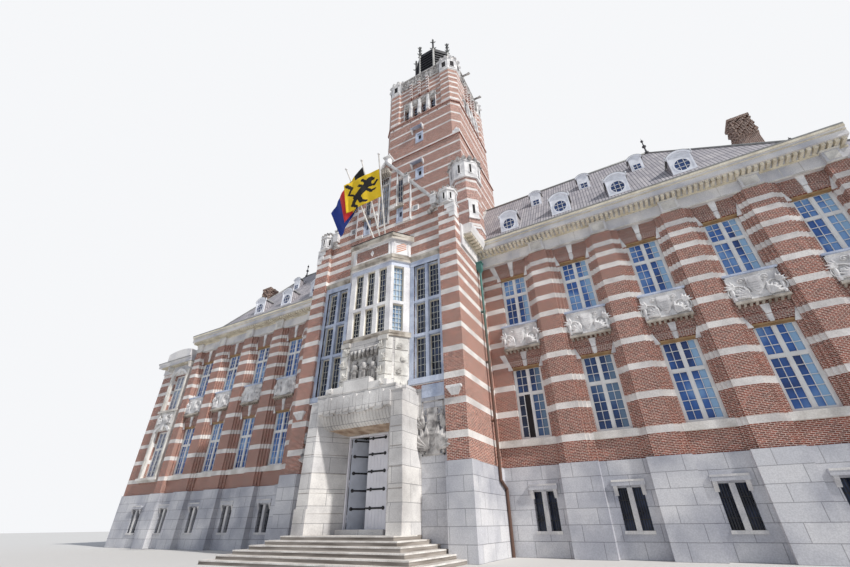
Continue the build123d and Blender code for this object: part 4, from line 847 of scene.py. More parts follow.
def shield(piece, face, z0, z1):
    """A plain shield on a block, with four raised bars."""
    h = z1 - z0
    mid = (z0 + z1) / 2
    piece.frustum((-0.21, 0.21, face - 0.05, face), (-0.16, 0.16, face - 0.035, face),
                  z0 + 0.03, z0 + h * 0.30)
    outline = [(-0.15, z1 - h * 0.14), (0.15, z1 - h * 0.14), (0.17, mid), (0.10, z0 + h * 0.24),
               (0, z0 + h * 0.14), (-0.10, z0 + h * 0.24), (-0.17, mid)]
    piece.prism(outline, face - 0.060, face)
    piece.prism([(x * 0.72, mid + (z - mid) * 0.72) for x, z in outline], face - 0.078,
                face - 0.055)
    for k in range(4):
        z = mid - h * 0.14 + k * h * 0.085
        piece.bar(0, 0.09, face - 0.088, face - 0.07, z, z + h * 0.03)


def carved_panel(piece, w, z0, z1):
    """A shield between scrolls and leaves, with a moulded frame."""
    face = -0.09
    half = w / 2
    h = z1 - z0
    for x0, x1, a, b in ((-half, half, z0, z0 + 0.035), (-half, half, z1 - 0.03, z1),
                         (-half, -half + 0.035, z0, z1), (half - 0.035, half, z0, z1)):
        piece.box(x0, x1, face - 0.022, face + 0.01, a, b)
    shield(piece, face, z0, z1)
    baluster = ((0.035, 0.04), (0.05, 0.09), (0.03, 0.16), (0.045, 0.30), (0.025, 0.40),
                (0.04, 0.44), (0.01, 0.50))
    for side in (-1, 1):
        scroll(piece, side * half * 0.66, z0 + h * 0.40, side, h * 0.30)
        scroll(piece, side * half * 0.45, z0 + h * 0.76, -side, h * 0.13, thick=0.018)
        leaf_fan(piece, side * half * 0.36, z0 + h * 0.12, side, h * 0.44)
        leaf_fan(piece, side * half * 0.80, z0 + h * 0.50, side, h * 0.30, count=4)
        piece.lathe(side * half * 0.90, face - 0.03, [(r, z0 + up) for r, up in baluster], 8)


def carved_panels():
    """Panels under the upper windows, with their sills and mossy shelves on brackets."""
    carving = Piece("panel_carving", white_stone)
    moss = Piece("panel_shelf_moss", mossy_stone)
    sill = Piece("panel_sills", blue_stone)
    half = PANEL_W / 2
    for x in WINDOW_XS:
        put(front(x), carving, moss, sill)
        carved_panel(carving, PANEL_W, PANEL_FOOT, PANEL_TOP)
        carving.bar(0, half, -0.092, 0.0, PANEL_FOOT, PANEL_TOP)
        moss.bar(0, half, -0.176, -0.10, PANEL_FOOT - 0.065, PANEL_FOOT + 0.006)
        for place in spread(9, PANEL_W / 9):
            moss.prism([(-0.165, PANEL_FOOT - 0.066), (-0.03, PANEL_FOOT - 0.128),
                        (-0.03, PANEL_FOOT - 0.066)], place - 0.03, place + 0.03, "x")
        sill.bar(0, half + 0.028, -0.150, 0.0, PANEL_TOP + 0.01, PANEL_TOP + 0.05)
        sill.bar(0, half + 0.015, -0.125, 0.0, PANEL_TOP, PANEL_TOP + 0.075)
    finish(moss, sill, both=True)
    carving.place = None
    carving.both()
    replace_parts(carving.done(), "relief_panels")


def row_of_teeth(piece, start, end, tooth, pitch, y0, y1, z0, z1):
    """Equal blocks from start, one each pitch, as long as one starts before the end."""
    x = start
    while x < end:
        piece.box(x, x + tooth, y0, y1, z0, z1)
        x += pitch


def wing_cornice_trim():
    """Teeth, blocks' edges and the gutter's lip along the wings."""
    teeth = Piece("cornice_teeth", cream_stone)
    trim = Piece("cornice_trim", pale_stone)
    lead = Piece("gutter_lip", lead_grey)
    row_of_teeth(teeth, CENTRE_X + 0.06, WING_CORNICE_END_X - 0.08, 0.085, 0.15,
                 -0.44, -0.14, FRIEZE_TOP + 0.005, CORONA_Z + 0.005)
    row_of_teeth(teeth, WING_CORNICE_END_X + 0.05, WING_END_X - 0.06, 0.07, 0.14,
                 -0.30, -0.05, 8.50, 8.58)
    for y0, y1, z0, z1 in ((-0.165, -0.12, FRIEZE_TOP - 0.045, FRIEZE_TOP + 0.005),
                           (-0.570, -0.50, 9.73, 9.815), (-0.525, -0.48, 9.65, 9.675)):
        teeth.box(CENTRE_X, WING_CORNICE_END_X, y0, y1, z0, z1)
    edges = [CENTRE_X + 0.01]
    for middle, w in PILASTERS:
        half = w * 0.4
        edges += [middle - half, middle + half]
        trim.bar(middle, half + 0.02, -0.262, -0.12, FRIEZE_TOP - 0.05, FRIEZE_TOP)
        trim.bar(middle, half + 0.015, -0.245, -0.12, FRIEZE_Z - 0.004, FRIEZE_Z + 0.05)
        trim.bar(middle, half - 0.06, -0.238, -0.22, FRIEZE_Z + 0.09, FRIEZE_TOP - 0.09)
    for a, b in zip(edges[0::2], edges[1::2]):
        trim.box(a, b, -0.148, -0.12, FRIEZE_Z - 0.004, FRIEZE_Z + 0.045)
        for k in (1, 2):
            trim.bar(a + k * (b - a) / 3, 0.006, -0.134, -0.12, FRIEZE_Z, FRIEZE_TOP - 0.04)
    lead.box(CENTRE_X, WING_CORNICE_END_X, -0.575, -0.52, EAVES_Z - 0.03, EAVES_Z + 0.012)
    lead.box(WING_CORNICE_END_X, WING_END_X + 0.20, -0.415, -0.36, END_EAVES_Z - 0.02,
             END_EAVES_Z + 0.012)
    finish(teeth, trim, lead, both=True)


def cellar_bars():
    """Bars, brackets and stone surrounds of the paired cellar windows."""
    bars = Piece("cellar_bars", black_iron)
    brackets = Piece("cellar_brackets", plinth_pale)
    low, high = CELLAR
    for x in WINDOW_XS + (END_BAY_X,):
        put(front(x), bars, brackets)
        for side in (-1, 1):
            middle = side * (CELLAR_W + CELLAR_GAP) / 2
            for place in spread(4, CELLAR_W / 4.5):
                bars.tube([(middle + place, 0.02, low), (middle + place, 0.02, high)], 0.007)
            for z in (low + 0.22, low + 0.62):
                bars.bar(middle, CELLAR_W / 2, 0.012, 0.028, z, z + 0.015)
            brackets.prism([(-0.06, 1.30), (-0.14, 1.46), (-0.145, 1.51), (-0.06, 1.51)],
                           side * 0.31 - 0.045, side * 0.31 + 0.045, "x")
        brackets.bar(0, 0.375, -0.158, -0.145, 1.60, 1.645)
        brackets.bar(0, 0.06, -0.085, -0.055, low, high)
        brackets.bar(0, 0.33, -0.09, -0.055, low - 0.07, low)
    finish(bars, brackets, both=True)


def dormer_hood(white, roof, y, z, r, inner, start, steps, lip, lift, depth, face):
    """A round hood of stones whose lead roof runs back to the slates."""
    outer = arc(0, z, r, start, 180 - start, steps)
    for stone in between(outer, arc(0, z, inner, start, 180 - start, steps)):
        white.prism(stone, y - lip[0], y + lip[1])
        a, b = stone[:2]
        roof.prism([(a[0] * 1.03, a[1] + lift), (b[0] * 1.03, b[1] + lift), b, a],
                   y - lip[0] - 0.005, y + depth)
    white.prism(outer, y - face[0], y + face[1])


def round_dormer(white, slate, bars, roof, panes):
    """A dormer with an oval eye, at the place that its pieces have."""
    y = DORMER_Y
    z = roof_z(y)
    eye = z + 0.33
    circle = [(cos(radians(15 * k)), sin(radians(15 * k))) for k in range(24)]
    for (a, b), (c, d) in zip(circle, circle[1:] + circle[:1]):
        white.prism([(0.230 * a, eye + 0.262 * b), (0.275 * a, eye + 0.307 * b),
                     (0.275 * c, eye + 0.307 * d), (0.230 * c, eye + 0.262 * d)],
                    y - 0.022, y + 0.01)
    panes.prism([(0.235 * a, eye + 0.267 * b) for a, b in circle], y - 0.006, y - 0.002)
    reach = 0.93 * sqrt(1 - 0.37 ** 2)
    for k in (-1, 1):
        bars.bar(0.085 * k, 0.009, y - 0.014, y - 0.004, eye - 0.27 * reach, eye + 0.27 * reach)
        bars.bar(0, 0.235 * reach, y - 0.014, y - 0.004, eye + 0.095 * k - 0.009,
                 eye + 0.095 * k + 0.009)
    dormer_hood(white, roof, y, z + 0.55, 0.46, 0.39, 28, 12, (0.055, 0.05), 0.012, 0.55,
                (0.012, 0.04))
    white.bar(0, 0.37, y - 0.03, y + 0.02, z - 0.02, z + 0.04)
    knob = ((0.02, 0.74), (0.035, 0.79), (0.02, 0.83), (0.03, 0.87), (0.005, 0.91))
    for side in (-1, 1):
        white.bar(side * 0.34, 0.025, y - 0.018, y + 0.02, z - 0.02, z + 0.77)
        slate.prism([(y + 0.03, z + 0.04), (y + 0.03, z + 0.77),
                     (y + 0.03 + 0.77 / ROOF_SLOPE, z + 0.80)], side * 0.338, side * 0.352, "x")
        white.lathe(side * 0.40, y - 0.02, [(r, z + up) for r, up in knob], 8)


def small_dormer(white, slate, bars, roof, panes):
    """A dormer with a small square window, at the place that its pieces have."""
    y = SMALL_DORMER_Y
    z = roof_z(y)
    middle = z + 0.17
    dormer_hood(white, roof, y, z + 0.50, 0.34, 0.29, 30, 10, (0.04, 0.04), 0.01, 0.40,
                (0.010, 0.03))
    for side in (-1, 1):
        edge = side * 0.145
        white.bar(edge, 0.015, y - 0.012, y + 0.012, z + 0.03, z + 0.31)
        white.bar(0, 0.16, y - 0.012, y + 0.012, middle + edge - 0.015, middle + edge + 0.015)
        slate.prism([(y + 0.03, z), (y + 0.03, z + 0.62), (y + 0.03 + 0.62 / ROOF_SLOPE, z + 0.63)],
                    side * 0.233, side * 0.245, "x")
    bars.bar(0, 0.009, y - 0.008, y + 0.05, z + 0.03, z + 0.31)
    bars.bar(0, 0.13, y - 0.008, y + 0.05, middle - 0.009, middle + 0.009)
    panes.bar(0, 0.132, y - 0.004, y + 0.062, z + 0.035, z + 0.305)


def dormer_trim():
    """Hoods, eyes and cheeks of both rows of dormers."""
    pieces = (Piece("dormer_trim", dormer_white), Piece("dormer_cheeks", roof_slate),
              Piece("dormer_bars", window_white), Piece("dormer_hoods", lead_grey),
              Piece("dormer_panes", dormer_glass))
    for x in WINDOW_XS[:4]:
        put(front(x), *pieces)
        round_dormer(*pieces)
    for x, _ in PILASTERS[:3]:
        put(front(x), *pieces)
        small_dormer(*pieces)
    finish(*pieces, both=True)


def roof_trim():
    """Lead rolls on ridges and hips, verge strips at the tower, and finials."""
    lead = Piece("ridge_rolls", lead_grey)
    verge = Piece("verge_strips", pale_stone)
    spike = Piece("ridge_finials", dark_lead)
    mid = BACK_Y / 2
    hip_x = 13.75
    apex = hip_x - ROOF_RUN
    end_apex, end_ridge = 14.65, 12.61
    lead.tube([(TOWER_HALF, mid, RIDGE_Z + 0.01), (apex, mid, RIDGE_Z + 0.01)], 0.06, 8)
    for y in (ROOF_FOOT_Y, BACK_Y - ROOF_FOOT_Y):
        lead.tube([(apex, mid, RIDGE_Z + 0.005), (hip_x, y, EAVES_Z + 0.02)], 0.045, 8)
        lead.tube([(end_apex, mid, end_ridge), (16.5, y, END_EAVES_Z + 0.02)], 0.04, 8)
    lead.tube([(12.0, mid, end_ridge), (end_apex, mid, end_ridge)], 0.045, 8)
    tip = ((0.03, 0.35), (0.085, 0.42), (0.085, 0.46), (0.028, 0.52), (0.022, 0.72), (0.06, 0.77),
           (0.055, 0.82), (0.012, 0.88), (0.003, 1.0))
    for x, height, base in ((apex, 1.0, RIDGE_Z), (end_apex, 0.62, 12.6)):
        spike.lathe(x, mid, [(0.09, base - 0.05), (0.10, base + 0.05), (0.045, base + 0.10)]
                    + [(r, base + height * share) for r, share in tip], 10)
    foot = roof_z(TOWER_Y)
    for y, width in ((TOWER_Y - 0.02, 0.12), (BACK_Y - TOWER_Y, 0.126)):
        verge.prism([(y, foot - 0.05), (mid, RIDGE_Z - 0.05), (mid, RIDGE_Z + 0.10),
                     (y, foot + 0.10)], TOWER_HALF, TOWER_HALF + width, "x")
    finish(lead, both=True, smooth=True)
    finish(verge, both=True)
    finish(spike, both=True, smooth=True)


def chimney_tops():
    """Rough courses of set-out bricks round the head of each chimney, and two pots."""
    brick = Piece("chimney_courses", brick_dark)
    x, y = CHIMNEY_X, BACK_Y / 2
    face = 0.31
    for row in range(11):
        level = 13.72 + 0.085 * row
        for side in (-1, 1):
            for k, place in enumerate(spread(8, 0.08)):
                out = 0.02 + 0.022 * ((5 * k + 3 * row + side) % 4)
                brick.bar(x + place, 0.034, y + side * face - out, y + side * face + out,
                          level, level + 0.07)
                brick.bar(x + side * face, out, y + place - 0.034, y + place + 0.034,
                          level, level + 0.07)
    brick.bar(x, 0.33, y - 0.33, y + 0.33, 14.58, 14.66)
    for dx in (-0.16, 0.16):
        for dy in (-0.16, 0.16):
            brick.lathe(x + dx, y + dy, [(0.09, 14.78), (0.085, 14.93), (0.07, 14.93),
                                         (0.07, 14.80)], 12)
    finish(brick, both=True)


def leading(frames, cames, x0, x1, z0, z1, depth, rows):
    """A cream inner frame and leaded bars in one light; depth is where the bars stand."""
    rim = 0.024
    inner_frame(frames, x0, x1, z0, z1, rim, depth - 0.03, depth + 0.02)
    lattice(cames, x0, x1, z0, z1, rim, 3, rows, 0.006, (depth - 0.006, depth + 0.012),
            (depth - 0.004, depth + 0.014))


def flank_surrounds():
    """Stone round the tall windows beside the oriel, and the string course over them."""
    stone = Piece("flank_surrounds", blue_stone)
    string = Piece("centre_string_course", mossy_stone)
    for x0, x1, y0, y1, z0, z1 in ((1.31, 1.443, -2.225, -2.15, 4.39, 8.60),
                                   (2.386, 2.512, -2.225, -2.15, 4.39, 8.60),
                                   (1.31, 2.512, -2.235, -2.15, 8.40, 8.60),
                                   (1.31, 2.512, -2.285, -2.15, 4.225, 4.39),
                                   (1.73, 2.45, -2.225, -2.15, 3.80, 4.17),
                                   (1.86, 1.97, -2.19, -2.13, 4.42, 8.40)):
        stone.box(x0, x1, y0, y1, z0, z1)
    for z in FLANK_TRANSOMS:
        stone.box(1.443, 2.386, -2.18, -2.13, z - 0.05, z + 0.05)
    string.prism([(-2.19, 8.60), (-2.235, 8.60), (-2.29, 8.70), (-2.29, 8.78), (-2.19, 8.86)],
                 1.28, 2.51, "x")
    finish(stone, string, both=True)


def centre_leading():
    """Inner frames and leading of the flank windows and the oriel."""
    frames = Piece("leaded_frames", cream_stone)
    cames = Piece("lead_cames", came_white)
    for low, high, rows in ((4.42, 5.745, 6), (5.855, 6.960, 5), (7.070, 8.370, 6)):
        for x0, x1 in ((1.483, 1.860), (1.970, 2.346)):
            leading(frames, cames, x0, x1, low, high, -2.045, rows)
    put(canted, frames, cames)
    for low, high in ORIEL_TIERS:
        leading(frames, cames, 0.096, 0.454, low, high, 0.10, 6)
    put(None, frames, cames)
    frames.both()
    cames.both()
    for low, high in ORIEL_TIERS:
        for x in spread(3, 0.49):
            leading(frames, cames, x - 0.165, x + 0.165, low, high, -2.625, 6)
    finish(frames, cames)


def oriel_frieze():
    """Brick frieze of the oriel with its lozenge, and the stripes of its canted sides."""
    brick = Piece("oriel_frieze_brick", brick_plain)
    white = Piece("oriel_frieze_frame", white_stone)
    pink = Piece("oriel_stripes", stripe_brick)
    brick.bar(0, 0.70, -2.728, -2.715, 8.93, 9.40)
    frame_round(white, 0, 0.70, 8.93, 9.40, 0.045, -2.750, -2.715)
    white.prism([(0, 9.03), (0.075, 9.165), (0, 9.30), (-0.075, 9.165)], -2.752, -2.72)
    for place in (canted, mirrored(canted)):
        put(place, white, pink)
        frame_round(white, 0.34, 0.24, 8.92, 9.40, 0.04, -0.022, 0.01)
        for k in range(4):
            low = 8.95 + 0.085 * k
            pink.prism([(0.16, low), (0.52, low + 0.21), (0.52, low + 0.25), (0.16, low + 0.04)],
                       -0.010, 0.01)
    finish(brick, white, pink)


def oriel_cornices():
    """Mossy tops and brackets of the oriel's three cornices, and its lead edge."""
    moss = Piece("oriel_cornice_moss", mossy_stone)
    lead = Piece("oriel_lead_edge", black_iron)
    for z, out, h in ((5.745, 0.075, 0.165), (8.576, 0.080, 0.243), (9.490, 0.125, 0.245)):
        right = [(0.85 + out * 0.7, -2.72 - out), (1.30 + out, -2.2), (1.28, -2.2), (0.84, -2.70)]
        left = [(-x, y) for x, y in reversed(right)]
        moss.prism(left[2:] + right + left[:2], z + h * 0.45, z + h + 0.004, "z")
        for x in spread(13, 0.13):
            moss.prism([(-2.72, z + 0.01), (-2.72 - out * 0.75, z + h * 0.45),
                        (-2.72, z + h * 0.45)], x - 0.035, x + 0.035, "x")
    lead.tube([(-1.42, -2.2, 9.745), (-0.93, -2.84, 9.745), (0.93, -2.84, 9.745),
               (1.42, -2.2, 9.745)], 0.022)
    finish(moss, lead)


def standing_figure(piece, x, y, z, h, turn):
    """A calm robed figure of no one in particular, with its hands before it."""
    robe = [(0.17, 0.0), (0.155, 0.06), (0.12, 0.28), (0.105, 0.48), (0.125, 0.64), (0.135, 0.74),
            (0.115, 0.80), (0.045, 0.84), (0.04, 0.87)]
    piece.lathe(x, y, [(r * h, z + t * h) for r, t in robe], 12)
    head = z + 0.93 * h
    piece.ball(x, y, head, 0.058 * h, 0.064 * h, 0.078 * h)
    piece.ball(x, y + 0.018 * h, head + 0.022 * h, 0.066 * h, 0.066 * h, 0.070 * h)
    piece.ball(x, y - 0.066 * h, head - 0.006 * h, 0.010 * h, 0.014 * h, 0.020 * h, 6, 4)
    for side in (-1, 1):
        shoulder = (x + side * 0.115 * h, y - 0.01, z + 0.76 * h)
        elbow = (x + side * 0.145 * h, y - 0.03 * h, z + 0.60 * h)
        hand = (x + side * 0.02 * h, y - 0.135 * h, z + (0.60 + 0.03 * side * turn) * h)
        piece.tube([shoulder, elbow, hand], [0.042 * h, 0.036 * h, 0.024 * h], 8)
        for k in range(3):
            fold = x + side * (0.03 + 0.035 * k) * h
            out = 0.012 * k
            piece.tube([(fold, y - (0.115 - out) * h, z + 0.52 * h),
                        (fold + side * 0.015, y - (0.155 - out) * h, z + 0.02 * h)],
                       [0.008 * h, 0.016 * h], 5)


def base_pillars():
    """Corner pillars of stone blocks with leaves, under the oriel."""
    stone = Piece("base_pillars", pale_stone)
    for level in range(4):
        z = 4.12 + 0.40 * level
        odd = level % 2
        stone.place = None
        stone.box(0.60, 0.845, -2.845 + 0.012 * odd, -2.79, z, z + 0.37)
        leaf_fan(stone, 0.72, z + 0.06, 1 - 2 * odd, 0.20, -2.86, 4)
        stone.place = base_canted
        stone.box(0.02, 0.22, -0.030, 0.02, z, z + 0.37)
        stone.box(0.30, 0.72, -0.014 - 0.010 * odd, 0.02, z, z + 0.37)
        leaf_fan(stone, 0.50, z + 0.05, 1 - 2 * odd, 0.17, -0.03, 4)
    stone.place = None
    stone.box(0.56, 0.89, -2.87, -2.78, 5.60, 5.745)
    finish(stone, both=True)


def base_figures():
    """A pleated canopy and three figures in the niche under the oriel."""
    carving = Piece("base_figures", grey_carving)
    for x in spread(7, 0.155):
        carving.prism([(x - 0.072, 5.42), (x, 5.18), (x + 0.072, 5.42)], -2.86, -2.72)
        carving.tube([(x, -2.79, 5.42), (x, -2.85, 5.30), (x, -2.80, 5.18)], [0.05, 0.04, 0.012])
    carving.bar(0, 0.55, -2.85, -2.79, 5.42, 5.48)
    carving.bar(0, 0.54, -2.83, -2.68, 4.20, 4.26)
    for x, turn, h in ((-0.34, 1, 0.88), (0.0, -1, 0.93), (0.34, 1, 0.88)):
        standing_figure(carving, x, -2.735, 4.26, h, turn)
    for side in (-1, 1):
        leaf_fan(carving, side * 0.17, 4.27, -side, 0.14, -2.78, 4)
    finish(carving, smooth=True)


def flank_relief():
    """Framed panels of carving beside the portal."""
    carving = Piece("flank_relief_carving", grey_carving)
    carving.place = front(2.072, CENTRE_Y + 0.085)
    carved_panel(carving, 0.678, 2.275, 3.696)
    for k in range(4):
        scroll(carving, 0.0, 2.46 + 0.11 * k, 1 - 2 * (k % 2), 0.07, thick=0.014)
    finish(carving, both=True)


def joggles(stone):
    """Stones over the doorway with rounded heads and feet, each second one dropped."""
    count = 11
    width = 2.54 / count
    for k in range(count):
        x = -1.27 + width * (k + 0.5)
        half = width * 0.48
        foot = 3.50 - 0.045 * (k % 2)
        head = arc(x, 3.87 + 0.05 * (k % 2), half, 0, 180, 8, 0.55)
        stone.prism([(x - half, foot), (x + half, foot)] + head, -3.150, -3.08)
        crest = arc(x, 3.55, width * 0.42, 180, 360, 6, 0.5)
        stone.prism(crest + [(x + width * 0.42, 3.60), (x - width * 0.42, 3.60)], -3.165, -3.14)


def portal_soffit():
    """Boards of tan stone under the doorway's head."""
    under = Piece("portal_soffit", tan_stone)
    under.prism([(-2.80, 3.108), (-2.34, 2.992), (-2.34, 3.10), (-2.80, 3.20)], -1.06, 1.06, "x")
    for x in spread(9, 0.22):
        inner = x * 0.70 / 1.06
        under.prism([(x - 0.10, -2.80), (x, -2.80), (inner, -2.34), (inner - 0.05, -2.34)],
                    3.085, 3.12, "z")
    finish(under)


def portal_trim():
    """Joggled stones over the doorway, a ribbed hollow hood, course joints and a threshold."""
    stone = Piece("portal_joggles", portal_stone)
    joint = Piece("portal_joints", joint_dark)
    joggles(stone)
    hollow = [(-3.065, 3.475), (-3.00, 3.31), (-2.91, 3.18), (-2.80, 3.11)]
    back = [(-2.80, 3.42), (-3.065, 3.50)]
    stone.prism(hollow + back, -1.26, 1.26, "x")
    rib = [(y - 0.014, z - 0.010) for y, z in hollow]
    for x in spread(22, 0.108):
        stone.prism(rib + back, x - 0.030, x + 0.030, "x")
    stone.bar(0, 0.76, -2.50, -2.295, 0.538, 0.655)
    stone.bar(0, 1.70, -3.10, -3.075, 3.885, 3.915)
    stone.bar(0, 1.42, -3.10, -3.07, 4.05, 4.09)
    for side in (-1, 1):
        for z in (1.02, 1.50, 1.98, 2.46, 2.94):
            joint.tube([(side * 1.268, -3.072, z), (side * 0.703, -2.31, z)], 0.006, 4)
            joint.tube([(side * 1.275, -3.083, z), (side * (1.70 - 0.026 * z), -3.083, z)],
                       0.005, 4)
        stone.bar(side * 0.98, 0.12, -3.10, -2.95, 4.08, 4.25)
        leaf_fan(stone, side * 0.86, 4.12, side, 0.16, -3.10, 4)
    finish(stone, joint)


def hung_left(p):
    """A right-hand door point as the left leaf's, swung open as it stands."""
    swing = turned(LEFT_LEAF_OPEN, -HINGE[0], HINGE[1])
    return swing((HINGE[0] - p[0], p[1] - HINGE[1], p[2]))


def leaf_boards():
    """Upright boards and rails, and on the street side iron straps, of both leaves."""
    # The left leaf takes the shaded grey copy of the door white: painted shade.
    for side, material, place in (("right", door_white, None), ("left", door_shade_grey, hung_left)):
        body = side + "_leaf"
        boards = Piece(body + "_boards", material, body)
        iron = Piece(body + "_irons", black_iron, body)
        put(place, boards, iron)
        for k in range(6):
            x = 0.012 + 0.106 * k
            boards.box(x, x + 0.100, -2.2565, -2.249, 0.556, 2.924)
        for z in (0.62, 2.86):
            boards.box(0.012, 0.648, -2.260, -2.250, z - 0.05, z + 0.05)
        for z in (0.66, 2.78):
            boards.box(0.008, 0.648, -2.201, -2.194, z - 0.06, z + 0.06)
        for z in STRAP_LEVELS:
            iron.box(0.020, 0.600, -2.268, -2.2555, z - 0.022, z + 0.022)
            for x in (0.150, 0.575):
                iron.ball(x, -2.264, z, 0.048, 0.018, 0.048)
            for x in (0.06, 0.23, 0.31, 0.39, 0.47):
                iron.ball(x, -2.268, z, 0.012, 0.009, 0.012, 6, 4)
        boards.done()
        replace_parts(iron.done(), body + "_straps")


def step_edges():
    """Pale edges along the front and the ends of the steps."""
    nosing = Piece("step_nosings", nosing_stone)
    for k in range(6):
        half = 1.70 + 0.25 * k
        y = -3.445 - 0.25 * k
        top = 0.54 - 0.09 * k
        nosing.bar(0, half + 0.008, y - 0.010, y + 0.03, top - 0.026, top + 0.0015)
        for side in (-1, 1):
            nosing.bar(side * (half - 0.010), 0.020, y + 0.03, -2.43, top - 0.026, top + 0.0015)
    finish(nosing)


def slope_strip(piece, offset, width, y0, y1):
    """A strip along both rakes of the gable; offset is how far above the coping's top."""
    foot_x, foot_z, apex_z = 2.50, 11.025 + offset, 14.555 + offset
    outline = [(foot_x, foot_z), (0.0, apex_z), (0.0, apex_z + width),
               (foot_x + width * 0.4, foot_z)]
    for side in (-1, 1):
        piece.prism([(side * x, z) for x, z in outline], y0, y1)


def leafy_knob(piece, x, y, z, r, count=6):
    """A round boss that leaves hold."""
    piece.ball(x, y, z, r * 0.6, r * 0.6, r * 0.9)
    for k in range(count):
        a = 2 * pi * k / count
        path = [(x + out * r * cos(a), y + out * r * sin(a), z + up * r)
                for out, up in ((0.4, -0.5), (1.0, 0.1), (0.7, 0.7))]
        piece.tube(path, [0.14 * r, 0.26 * r, 0.08 * r])


def gable_half(white, grey, dark, moss, blue, side):
    """Crocket posts, strips and small windows in one half of the street gable."""
    for x, z in ((side * 1.12, 12.93), (side * 2.32, 11.28)):
        white.bar(x, 0.12, -2.36, -2.20, z - 0.42, z - 0.02)
        white.frustum((x - 0.15, x + 0.15, -2.39, -2.15), (x - 0.06, x + 0.06, -2.30, -2.20),
                      z - 0.02, z + 0.14)
        leafy_knob(grey, x, -2.27, z + 0.16, 0.11)
    for x, low, high in ((0.635, 11.62, 13.40), (1.285, 10.64, 12.52)):
        white.bar(side * x, 0.022, -2.268, -2.20, low, high)
    white.bar(side * 0.475, 0.19, -2.30, -2.18, 11.48, 11.62)
    x = side * 0.795
    moss.bar(x, 0.20, -2.32, -2.19, 11.43, 11.50)
    frame_round(blue, x, 0.10, 10.75, 11.40, 0.06, -2.225, -2.18)
    blue.bar(x, 0.10, -2.19, -2.10, 10.75, 11.40)
    dark.box(x - 0.03, x + 0.08, -2.196, -2.18, 10.98, 11.22)
    dark.bar(x, 0.09, -2.212, -2.19, 11.72, 12.95)
    frame_round(grey, x, 0.09, 11.72, 12.95, 0.035, -2.235, -2.19)
    grey.bar(x, 0.01, -2.225, -2.205, 11.72, 12.95)
    for z in (12.0, 12.3, 12.6):
        grey.bar(x, 0.09, -2.225, -2.205, z, z + 0.02)
    for k in range(3):
        grey.ball(side * (2.34 - 0.10 * k), -2.30, 10.74 - 0.09 * k, 0.12 - 0.02 * k, 0.10, 0.09)
    x = side * 1.50
    dark.bar(x, 0.09, -2.208, -2.19, 11.02, 11.22)
    frame_round(white, x, 0.09, 11.02, 11.22, 0.04, -2.225, -2.19)
    for away in (-0.045, 0.0, 0.045):
        white.bar(x + away, 0.007, -2.218, -2.20, 11.02, 11.22)


def gable_niche(white, grey, dark, moss):
    """Panes, tracery, frame and canopy of the tall niche in the middle of the gable."""
    pale = Piece("niche_panes", niche_glass)
    pale.bar(0, 0.225, -2.150, -2.085, 10.90, 13.02)
    pale.done()
    dark.bar(0, 0.225, -2.105, -2.085, 13.02, 13.45)
    frame_round(white, 0, 0.225, 10.90, 13.45, 0.07, -2.240, -2.18)
    for x in (-0.11, 0.0, 0.11):
        grey.bar(x, 0.014, -2.19, -2.12, 10.90, 13.45)
    for z in (11.3, 11.75, 12.2, 12.65, 13.0):
        grey.bar(0, 0.225, -2.175, -2.13, z, z + 0.035)
    for x in spread(4, 0.112):
        grey.prism([(x - 0.05, 13.0)] + arc(x, 13.10, 0.05, 180, 0, 6), -2.20, -2.12)
    for x in spread(3, 0.13):
        grey.tube([(x, -2.17, 13.12), (x + 0.03, -2.19, 13.25), (x - 0.02, -2.17, 13.40)],
                  [0.02, 0.028, 0.012])
    for k in range(9):
        c, s = cos(pi * k / 8), sin(pi * k / 8)
        moss.tube([(0, -2.22, 14.08), (0.17 * c, -2.33 - 0.06 * s, 13.88),
                   (0.29 * c, -2.27 - 0.12 * s, 13.58), (0.26 * c, -2.22 - 0.06 * s, 13.44)],
                  [0.03, 0.055, 0.060, 0.03])


def gable_trim():
    """Coping edges, crockets, tracery, canopy, hoods and strips of the street gable."""
    white = Piece("gable_white_edges", white_stone)
    grey = Piece("gable_grey_carving", grey_carving)
    # Painted shade: dark glass for the unlit insides of the small windows and the niche's head.
    dark = Piece("gable_dark_glass", dark_glass)
    moss = Piece("gable_moss", mossy_stone)
    blue = Piece("gable_small_windows", blue_stone)
    slope_strip(white, -0.045, 0.06, -2.285, -1.86)
    slope_strip(grey, -0.20, 0.035, -2.278, -2.25)
    for side in (-1, 1):
        gable_half(white, grey, dark, moss, blue, side)
    gable_niche(white, grey, dark, moss)
    apex_y = -2.065
    white.bar(0, 0.19, apex_y - 0.19, apex_y + 0.19, 14.82, 14.865)
    knob = [(0.03, 14.80), (0.035, 14.88), (0.015, 14.92), (0.028, 14.96), (0.004, 15.05)]
    for x in (-0.12, 0.12):
        for y in (-0.12, 0.12):
            white.lathe(x, apex_y + y, knob, 8)
    leafy_knob(grey, 0, apex_y, 14.93, 0.12)
    finish(white, grey, dark, moss, blue)


def crown(piece, x, y, z, r, h, count=12):
    """Leaves that stand round a small dome and close over it."""
    leaf = ((-0.04, 0.0, 0.12), (0.05, 0.16, 0.16), (0.02, 0.34, 0.14), (-0.12, 0.50, 0.05))
    for row, (reach, low, size) in enumerate(((1.0, 0.0, 1.0), (0.78, 0.34, 0.85),
                                              (0.45, 0.68, 0.7))):
        leaves = count - 3 * row
        for k in range(leaves):
            a = 2 * pi * (k + 0.5 * (row % 2)) / leaves
            path = [(x + r * (reach + out) * cos(a), y + r * (reach + out) * sin(a),
                     z + h * (low + up)) for out, up, _ in leaf]
            piece.tube(path, [wide * r * size for _, _, wide in leaf])
    piece.ball(x, y, z + h * 1.02, 0.14 * r, 0.14 * r, 0.16 * r)


